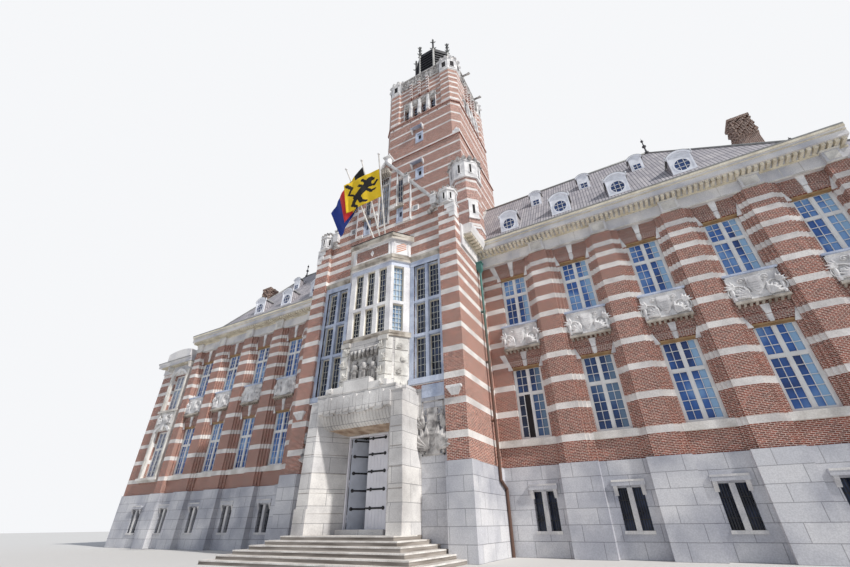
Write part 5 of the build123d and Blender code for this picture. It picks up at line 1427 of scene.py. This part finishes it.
def eight(r, x, y):
    """Corners of an octagon flat to the front, as (x, y)."""
    turns = [radians(22.5 + 45 * k) for k in range(8)]
    return [(x + r * cos(a), y + r * sin(a)) for a in turns]


def slits(piece, x, y, r, w, z0, z1):
    """A dark patch, painted shade of a slit, in each face of an octagonal shaft of radius r."""
    face = r * OCTAGON_FLAT
    for _ in eight_sides(piece, x, y):
        piece.box(face - 0.02, face + 0.004, -w / 2, w / 2, z0, z1)


def eight_frames(piece, x, y, r, w, z0, z1, width):
    """A raised frame round a slit in each face of an octagonal shaft."""
    face = r * OCTAGON_FLAT
    for _ in eight_sides(piece, x, y):
        for y0 in (-w / 2 - width, w / 2):
            piece.box(face - 0.01, face + 0.02, y0, y0 + width, z0 - width, z1 + width)
        piece.box(face - 0.01, face + 0.02, -w / 2, w / 2, z1, z1 + width)
        piece.box(face - 0.01, face + 0.03, -w / 2 - width, w / 2 + width, z0 - width, z0)


def stair_turret_trim(pale, dark, leaf):
    """Arcade, crown, ledges and one window of the stair turret."""
    x, y = 2.62, 0.425
    for z0, z1, r in ((13.94, 14.04, 0.735), (14.92, 15.02, 0.745), (11.05, 11.15, 0.675),
                      (14.04, 14.93, 0.722)):
        pale.prism(eight(r, x, y), z0, z1, "z")
    eight_frames(pale, x, y, 0.722, 0.10, 14.22, 14.76, 0.035)
    slits(dark, x, y, 0.722, 0.10, 14.22, 14.76)
    crown(leaf, x, y, 15.02, 0.70, 0.44, 16)
    face = 0.65 * OCTAGON_FLAT
    put(turned(-45, x, y), pale, dark)
    pale.box(face - 0.01, face + 0.035, -0.22, 0.22, 11.63, 12.58)
    pale.box(face - 0.01, face + 0.06, -0.25, 0.25, 11.55, 11.64)
    # Painted shade: a dark patch for the window's opening.
    dark.box(face, face + 0.039, -0.055, 0.055, 11.836, 12.329)


def pinnacle_trim():
    """Slits, crowns and corbels of the corner piers, and what dresses the stair turrets."""
    pale = Piece("pinnacle_frames", white_stone)
    dark = Piece("pinnacle_slits", recess_shade)
    leaf = Piece("pinnacle_crowns", grey_carving)
    x, y = 2.825, -2.13
    eight_frames(pale, x, y, 0.34, 0.07, 10.74, 11.06, 0.03)
    slits(dark, x, y, 0.34, 0.07, 10.74, 11.06)
    crown(leaf, x, y, 11.24, 0.33, 0.30)
    for z, reach in ((9.95, 0.20), (10.16, 0.28), (10.37, 0.36)):
        pale.box(CENTRE_X - reach, CENTRE_X + 0.022, -2.352, -2.10, z, z + 0.19)
    pale.box(2.48, 3.17, -2.36, -1.91, 10.585, 10.65)
    pale.frustum((2.72, 2.93, -2.35, -2.33), (2.62, 3.03, -2.43, -2.33), 3.72, 3.90)
    pale.box(2.60, 3.05, -2.44, -2.33, 3.90, 3.97)
    stair_turret_trim(pale, dark, leaf)
    finish(pale, dark, leaf, both=True)


def tower_lights(white, blue, dark):
    """Two small framed lights with slanting hoods on the street side of the tower."""
    wall = -TOWER_HALF
    put(around_tower(0), white, blue, dark)
    for z in (16.59, 19.48):
        frame_round(blue, 0, 0.13, z - 0.30, z + 0.30, 0.115, wall - 0.03, wall + 0.05)
        blue.bar(0, 0.13, wall + 0.015, wall + 0.05, z - 0.30, z + 0.30)
        # Painted shade: a dark patch in each small light.
        dark.box(-0.05, 0.11, wall + 0.008, wall + 0.02, z - 0.14, z + 0.14)
        hood = z + 0.76
        blue.prism([(wall + 0.02, hood + 0.05), (wall - 0.24, hood - 0.02),
                    (wall - 0.25, hood + 0.01), (wall + 0.02, hood + 0.11)], -0.48, 0.24, "x")
        white.prism([(wall, hood - 0.30), (wall - 0.05, hood - 0.28), (wall - 0.20, hood - 0.04),
                     (wall, hood - 0.02)], -0.48, -0.40, "x")
        white.prism([(wall, hood - 0.18), (wall - 0.18, hood + 0.02), (wall - 0.27, hood + 0.10),
                     (wall, hood + 0.16)], 0.20, 0.27, "x")


def set_back_corners(white):
    """Carved stones where the tower's corners step back, front and rear."""
    wall = -TOWER_HALF
    for side in (-1, 1):
        for quarter in (0, 2):
            white.place = around_tower(quarter)
            white.prism([(side * 2.02, wall), (-side * wall, wall), (-side * wall, wall + 0.40)],
                        18.45, 18.72, "z")
            white.ball(side * 2.20, wall + 0.12, 18.80, 0.13, 0.10, 0.15)
            leafy_knob(white, side * 2.24, wall + 0.14, 18.90, 0.10, 5)


def belfry_windows(white, dark, grey, blue):
    """Dark openings with bars, white edges and carved round heads, on the placed side."""
    for x in spread(4, 0.59):
        # Painted shade: dark sheets behind the belfry openings.
        dark.bar(x, 0.18, BELFRY_Y + 0.20, BELFRY_Y + 0.22, 21.70, 22.75)
        blue.bar(x, 0.012, BELFRY_Y + 0.15, BELFRY_Y + 0.19, 21.70, 22.75)
        for z in (21.95, 22.20, 22.45):
            blue.bar(x, 0.18, BELFRY_Y + 0.15, BELFRY_Y + 0.19, z, z + 0.022)
        for side in (-1, 1):
            white.bar(x + side * 0.20, 0.02, BELFRY_Y - 0.06, BELFRY_Y + 0.01, 21.62, 22.80)
            leaf_fan(grey, x, 22.86, side, 0.20, BELFRY_Y - 0.05)
        grey.ball(x, BELFRY_Y - 0.03, 22.92, 0.07, 0.05, 0.07)
        grey.prism(arc(x, 22.86, 0.25, 0, 180, 12, 1.8), BELFRY_Y - 0.045, BELFRY_Y + 0.01)


def belfry_fins(fin, brick):
    """Stepped fins of stone and brick between the windows, on the placed side."""
    back = BELFRY_Y + 0.01
    for x in spread(3, 0.59):
        fin.frustum((x - 0.075, x + 0.075, BELFRY_Y - 0.20, back),
                    (x - 0.06, x + 0.06, BELFRY_Y - 0.13, back), 21.62, 23.05)
        fin.frustum((x - 0.06, x + 0.06, BELFRY_Y - 0.13, back),
                    (x - 0.03, x + 0.03, BELFRY_Y - 0.03, back), 23.05, 23.22)
        for k in range(6):
            z = 23.46 + 0.25 * k
            out = BELFRY_Y - 0.012 * k
            brick.bar(x, 0.075, out - 0.10, back, z, z + 0.155)
            fin.bar(x, 0.085, out - 0.115, back, z + 0.155, z + 0.25)
        fin.frustum((x - 0.10, x + 0.10, BELFRY_Y - 0.20, BELFRY_Y + 0.02),
                    (x - 0.04, x + 0.04, BELFRY_Y - 0.10, BELFRY_Y + 0.02), 24.96, 25.16)


def belfry_friezes(grey):
    """Bosses between ledges, and lozenges and wreaths between posts, on the placed side."""
    for half, out, inward, z0, z1 in ((1.22, 0.055, 0.01, 22.80, 22.86),
                                      (1.22, 0.035, 0.01, 23.28, 23.34),
                                      (1.30, 0.03, 0.01, 24.86, 25.72),
                                      (1.32, 0.09, 0.22, 25.68, 25.79),
                                      (1.32, 0.07, 0.01, 24.84, 24.94)):
        grey.bar(0, half, BELFRY_Y - out, BELFRY_Y + inward, z0, z1)
    for x in spread(8, 0.30):
        grey.ball(x, BELFRY_Y - 0.02, 23.10, 0.08, 0.04, 0.09)
    middle = 25.31
    for k, x in enumerate(spread(5, 0.53)):
        if k % 2:
            grey.prism([(x, middle - 0.29), (x + 0.20, middle), (x, middle + 0.29),
                        (x - 0.20, middle)], BELFRY_Y - 0.075, BELFRY_Y)
            grey.ball(x, BELFRY_Y - 0.08, middle, 0.07, 0.05, 0.07)
        else:
            turns = [radians(30 * j) for j in range(13)]
            grey.tube([(x + 0.21 * cos(a), BELFRY_Y - 0.05, middle + 0.25 * sin(a))
                       for a in turns], 0.035)
            leafy_knob(grey, x, BELFRY_Y - 0.04, middle, 0.10, 5)
    for x in spread(6, 0.53):
        grey.bar(x, 0.035, BELFRY_Y - 0.085, BELFRY_Y, 24.94, 25.68)


def belfry_spouts(grey):
    """Two spouts on each of the tower's flanks."""
    for quarter in (1, 3):
        grey.place = around_tower(quarter)
        for x in (-0.9375, 0.9375):
            grey.tube([(x, BELFRY_Y + 0.02, 25.60), (x, BELFRY_Y - 0.25, 25.62),
                       (x, BELFRY_Y - 0.48, 25.58), (x, BELFRY_Y - 0.60, 25.50)],
                      [0.08, 0.065, 0.075, 0.03], 8)
            grey.ball(x, BELFRY_Y - 0.50, 25.63, 0.075, 0.09, 0.07)


def corner_arcades(white, dark):
    """Ledges, slits and crowns of the four corner turrets."""
    reach = TOWER_HALF - 0.72 * OCTAGON_FLAT
    for side in (-1, 1):
        for way in (-1, 1):
            x, y = side * reach, TOWER_MID + way * reach
            for z0, z1, r in ((24.70, 24.80, 0.745), (25.70, 25.82, 0.755),
                              (21.50, 21.60, 0.745), (24.80, 25.70, 0.728)):
                white.prism(eight(r, x, y), z0, z1, "z")
            eight_frames(white, x, y, 0.730, 0.26, 24.96, 25.54, 0.045)
            slits(dark, x, y, 0.730, 0.26, 24.96, 25.54)
            crown(white, x, y, 25.80, 0.70, 0.50, 14)


def tower_trim():
    """Hoods, small windows, holes, belfry fins and carving, and the corner arcades."""
    white = Piece("tower_white_stone", white_stone)
    blue = Piece("tower_window_surrounds", blue_stone)
    dark = Piece("tower_dark_openings", recess_shade)
    grey = Piece("belfry_carving", grey_carving)
    fin = Piece("belfry_fins", white_stone)
    brick = Piece("belfry_fin_bricks", brick_plain)
    pieces = (white, blue, dark, grey, fin, brick)
    tower_lights(white, blue, dark)
    set_back_corners(white)
    for quarter in range(4):
        put(around_tower(quarter), *pieces)
        # Painted shade: small dark patches for the holes under the belfry.
        for x in spread(7, 0.60):
            dark.bar(x, 0.035, -TOWER_HALF - 0.004, -TOWER_HALF + 0.05, 21.14, 21.22)
        belfry_windows(white, dark, grey, blue)
        belfry_fins(fin, brick)
        belfry_friezes(grey)
    belfry_spouts(grey)
    put(None, *pieces)
    corner_arcades(white, dark)
    finish(*pieces)


def lantern_trim():
    """Louvres on the eight sides of the lantern, pale posts and their finials."""
    louvre = Piece("lantern_louvres", louvre_paint)
    post = Piece("lantern_posts", post_paint)
    finial = Piece("lantern_finials", finial_metal)
    face = 1.44 * OCTAGON_FLAT
    for _ in eight_sides(louvre, 0, TOWER_MID):
        for j in range(15):
            z = 25.35 + 0.31 * j
            louvre.prism([(face - 0.01, z + 0.10), (face + 0.055, z), (face + 0.065, z + 0.02),
                          (face - 0.01, z + 0.125)], -0.49, 0.49)
    spike = [(0.078, 30.05), (0.10, 30.10), (0.10, 30.18), (0.050, 30.24), (0.046, 30.86),
             (0.085, 30.92), (0.085, 31.00), (0.045, 31.06), (0.050, 31.18), (0.02, 31.31)]
    for k, (x, y) in enumerate(eight(1.4225, 0, TOWER_MID)):
        post.lathe(x, y, [(0.078, 25.12), (0.078, 30.05)], 10)
        finial.lathe(x, y, spike, 10)
        for level, reach in ((30.15, 0.20), (30.96, 0.17)):
            for turn in range(4):
                a = radians(22.5 + 45 * k + 90 * turn)
                path = [(x + out * reach * cos(a), y + out * reach * sin(a), level + up)
                        for out, up in ((0, 0), (1, 0.05), (1.1, 0.16))]
                finial.tube(path, [0.04, 0.032, 0.010], 5)
    finish(louvre, post, finial)


def side_trim():
    """Bars under the side cornices, hopper rims and pipe collars."""
    bars = Piece("side_cornice_bars", cream_stone)
    pipe = Piece("pipe_collars", pipe_copper)
    for k in range(6):
        y = -1.70 + 0.20 * k
        bars.box(CENTRE_X + 0.01, CENTRE_X + 0.33, y, y + 0.09, 9.38, 9.485)
    bars.box(CENTRE_X, CENTRE_X + 0.09, -1.77, -0.56, 9.30, 9.38)
    x = 3.252
    pipe.box(CENTRE_X, x + 0.11, -0.66, -0.44, 8.88, 8.925)
    pipe.frustum((x - 0.04, x + 0.04, -0.59, -0.51), (x - 0.09, x + 0.09, -0.64, -0.46),
                 8.48, 8.62)
    collar = ((0.050, 0.0), (0.054, 0.02), (0.054, 0.05), (0.050, 0.07))
    for z in (2.3, 3.3, 4.2, 5.1, 6.0, 6.9, 7.8):
        pipe.lathe(x, -0.55, [(r, z + up) for r, up in collar], 12)
    finish(bars, pipe, both=True)


def end_bay_trim():
    """Arched tops, keystones and panels of the end bays."""
    white = Piece("end_bay_arches", white_stone)
    bars = Piece("end_bay_panels", pale_stone)
    carving = Piece("end_bay_carving", white_stone)
    x = END_BAY_X
    for head in (END_UPPER[1], LOWER[1]):
        for stone in between(arc(x, head - 0.55, 0.86, 40, 140, 14),
                             arc(x, head - 0.55, 0.74, 40, 140, 14)):
            white.prism(stone, -0.17, -0.11)
        white.prism([(x - 0.06, head + 0.02), (x + 0.06, head + 0.02), (x + 0.09, head + 0.32),
                     (x - 0.09, head + 0.32)], -0.20, -0.11)
    carving.place = front(x, -0.032)
    carved_panel(carving, 1.10, 5.28, 5.90)
    for side in (-1, 1):
        for z in (LOWER[0], END_UPPER[0]):
            bars.bar(x + side * 0.66, 0.055, -0.145, -0.115, z + 0.05, z + 1.80)
        bars.prism([(x + side * 0.92, 8.22), (x + side * 0.80, 8.50), (x + side * 0.98, 8.50)],
                   -0.34, -0.06)
    finish(white, bars, carving, both=True)


def flag_point(base, fan, yaw, foot, s, t, wave):
    """A point on a flag, s out from the pole and t up it, off its plane by wave."""
    lean = Matrix.Rotation(radians(28.7), 3, "X") @ Matrix.Rotation(radians(fan), 3, "Y")
    up = lean @ Vector((0, 0, 1))
    across = Matrix.Rotation(radians(fan), 3, "Y") @ Vector((1, 0, 0))
    normal = up.cross(across)
    a = radians(yaw)
    along = cos(a) * across + sin(a) * normal
    out = cos(a) * normal - sin(a) * across
    return Vector((base, -2.355, 9.737)) + up * (foot + t) - along * (0.0283 + s) + out * wave


def beast(u, v):
    """Whether a cell of the flag belongs to its rearing beast: limbs, body, mane and tail."""
    parts = (((0.42, 0.62), (0.66, 0.42), 0.095), ((0.35, 0.74), (0.41, 0.70), 0.080),
             ((0.28, 0.72), (0.34, 0.73), 0.040), ((0.42, 0.58), (0.26, 0.54), 0.036),
             ((0.26, 0.54), (0.20, 0.62), 0.030), ((0.46, 0.52), (0.34, 0.38), 0.036),
             ((0.34, 0.38), (0.26, 0.40), 0.030), ((0.64, 0.42), (0.58, 0.22), 0.050),
             ((0.58, 0.22), (0.47, 0.15), 0.032), ((0.68, 0.40), (0.77, 0.22), 0.050),
             ((0.77, 0.22), (0.68, 0.10), 0.032), ((0.70, 0.46), (0.84, 0.58), 0.026),
             ((0.84, 0.58), (0.77, 0.74), 0.026), ((0.77, 0.74), (0.87, 0.86), 0.040),
             ((0.44, 0.72), (0.52, 0.82), 0.034), ((0.50, 0.62), (0.60, 0.70), 0.034))
    u, v = 0.53 + (u - 0.5) / 1.25, 0.5 + (v - 0.5) / 1.15
    for (a, b), (c, d), reach in parts:
        t = ((u - a) * (c - a) + (v - b) * (d - b)) / ((c - a) ** 2 + (d - b) ** 2)
        t = min(1, max(0, t))
        if (u - a - t * (c - a)) ** 2 + (v - b - t * (d - b)) ** 2 < reach ** 2:
            return True
    return False


def hanging_flags():
    """Three flags as cloth in the wind, in waves that grow towards the fly."""
    columns, rows = 66, 44
    length, height = 1.5, 1.05
    cloths = (("blue_flag", -0.091, -9.0, 10, 1.825, 0.86, lambda u, v: 0, (flag_blue,)),
              ("banded_flag", 0.115, 0.4, 16, 2.115, 0.88, lambda u, v: min(2, int(3 * u)),
               (flag_black, flag_yellow, flag_red)),
              ("beast_flag", 0.295, 10.5, 29, 1.805, 0.50, lambda u, v: int(beast(u, v)),
               (flag_yellow, flag_black)))
    for name, base, fan, yaw, foot, sag, tone, materials in cloths:
        points = []
        for j in range(rows + 1):
            v = j / rows
            for k in range(columns + 1):
                u = k / columns
                wave = (0.055 * u ** 0.8 * sin(11.5 * u + 1.6 * v + fan)
                        + 0.02 * u * sin(24 * u - 4 * v))
                s = sqrt(1 - (sag / length) ** 2) * length * 0.97 * u
                droop = sag * u ** 1.1
                points.append(flag_point(base, fan, yaw, foot, s, height * v - droop, wave))
        faces = [(j * (columns + 1) + k, j * (columns + 1) + k + 1,
                  (j + 1) * (columns + 1) + k + 1, (j + 1) * (columns + 1) + k)
                 for j in range(rows) for k in range(columns)]
        mesh = bpy.data.meshes.new(name)
        mesh.from_pydata(points, [], faces)
        for material in materials:
            mesh.materials.append(material)
        for face in mesh.polygons:
            j, k = divmod(face.index, columns)
            face.material_index = tone((k + 0.5) / columns, (j + 0.5) / rows)
            face.use_smooth = True
        flag = in_scene(name, mesh)
        thick = flag.modifiers.new("cloth", "SOLIDIFY")
        thick.thickness = 0.004
        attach(flag, "building")
        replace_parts(flag, "flags")
    ties = Piece("pole_fittings", white_stone)
    for _, base, fan, *_ in cloths:
        top = flag_point(base, fan, 0, 3.425, -0.0283, 0, 0)
        ties.ball(top.x, top.y, top.z, 0.05)
        foot = flag_point(base, fan, 0, 0.0, -0.0283, 0, 0)
        low = flag_point(base, fan, 0, 0.28, -0.0283, 0, 0)
        ties.tube([foot, low], 0.040, 10)
        ties.box(foot.x - 0.07, foot.x + 0.07, foot.y - 0.05, foot.y + 0.11, 9.736, 9.775)
    ties.done()


def dress_nodes():
    """Give every CAD node its material."""
    for material, names in DRESS.items():
        for name in names:
            for slot in nodes[name].material_slots:
                slot.material = material


def photograph_camera():
    data = bpy.data.cameras.new("camera")
    data.lens = LENS
    data.sensor_width = 36
    data.clip_end = 500
    camera = in_scene("camera", data)
    level_right = Vector((cos(CAMERA_LEFT), sin(CAMERA_LEFT), 0))
    forward = Vector((-sin(CAMERA_LEFT) * cos(CAMERA_UP), cos(CAMERA_LEFT) * cos(CAMERA_UP),
                      sin(CAMERA_UP)))
    level_up = level_right.cross(forward)
    right = cos(CAMERA_ROLL) * level_right + sin(CAMERA_ROLL) * level_up
    up = cos(CAMERA_ROLL) * level_up - sin(CAMERA_ROLL) * level_right
    turn = Matrix((right, up, -forward)).transposed().to_4x4()
    camera.matrix_world = Matrix.Translation(CAMERA_PLACE) @ turn
    bpy.context.scene.camera = camera


def sun(name, strength, angle, azimuth, elevation, colour=(1, 1, 1)):
    data = bpy.data.lights.new(name, "SUN")
    data.energy = strength
    data.angle = radians(angle)
    data.color = colour
    lamp = in_scene(name, data)
    a, e = radians(azimuth), radians(elevation)
    towards = Vector((sin(a) * cos(e), -cos(a) * cos(e), sin(e)))
    lamp.rotation_mode = "QUATERNION"
    lamp.rotation_quaternion = towards.to_track_quat("Z", "Y")


def studio():
    """Pale floor, soft world light and one soft key from the right."""
    mesh = bpy.data.meshes.new("floor")
    reach = 160
    mesh.from_pydata([(-reach, -reach, 0), (reach, -reach, 0), (reach, reach, 0),
                      (-reach, reach, 0)], [], [(0, 1, 2, 3)])
    floor = in_scene("floor", mesh)
    ground = Graph("floor")
    mesh.materials.append(ground.finish(linear(206, 204, 200), 0.9))
    world = bpy.data.worlds.new("world")
    bpy.context.scene.world = world
    world.use_nodes = True
    tree = world.node_tree
    back = tree.nodes["Background"]
    path = tree.nodes.new("ShaderNodeLightPath")
    seen = tree.nodes.new("ShaderNodeMath")
    seen.operation = "MAXIMUM"
    tree.links.new(path.outputs["Is Camera Ray"], seen.inputs[0])
    tree.links.new(path.outputs["Is Transmission Ray"], seen.inputs[1])
    light = tree.nodes.new("ShaderNodeMix")
    light.data_type = "RGBA"
    tree.links.new(seen.outputs[0], light.inputs["Factor"])
    light.inputs[6].default_value = (0.43, 0.47, 0.55, 1)
    light.inputs[7].default_value = (0.92, 0.93, 0.95, 1)
    tree.links.new(light.outputs[2], back.inputs["Color"])
    sun("key", 3.35, 2.0, 77, 42, (1.0, 0.975, 0.94))
    bpy.context.scene.view_settings.view_transform = "Standard"


dress_nodes()
window_bars()
ajar_casement()
rear_window_bars()
flat_arches()
carved_panels()
wing_cornice_trim()
cellar_bars()
dormer_trim()
roof_trim()
chimney_tops()
centre_leading()
flank_surrounds()
oriel_frieze()
oriel_cornices()
base_pillars()
base_figures()
flank_relief()
portal_soffit()
portal_trim()
leaf_boards()
step_edges()
gable_trim()
pinnacle_trim()
tower_trim()
lantern_trim()
side_trim()
end_bay_trim()
hanging_flags()
photograph_camera()
studio()
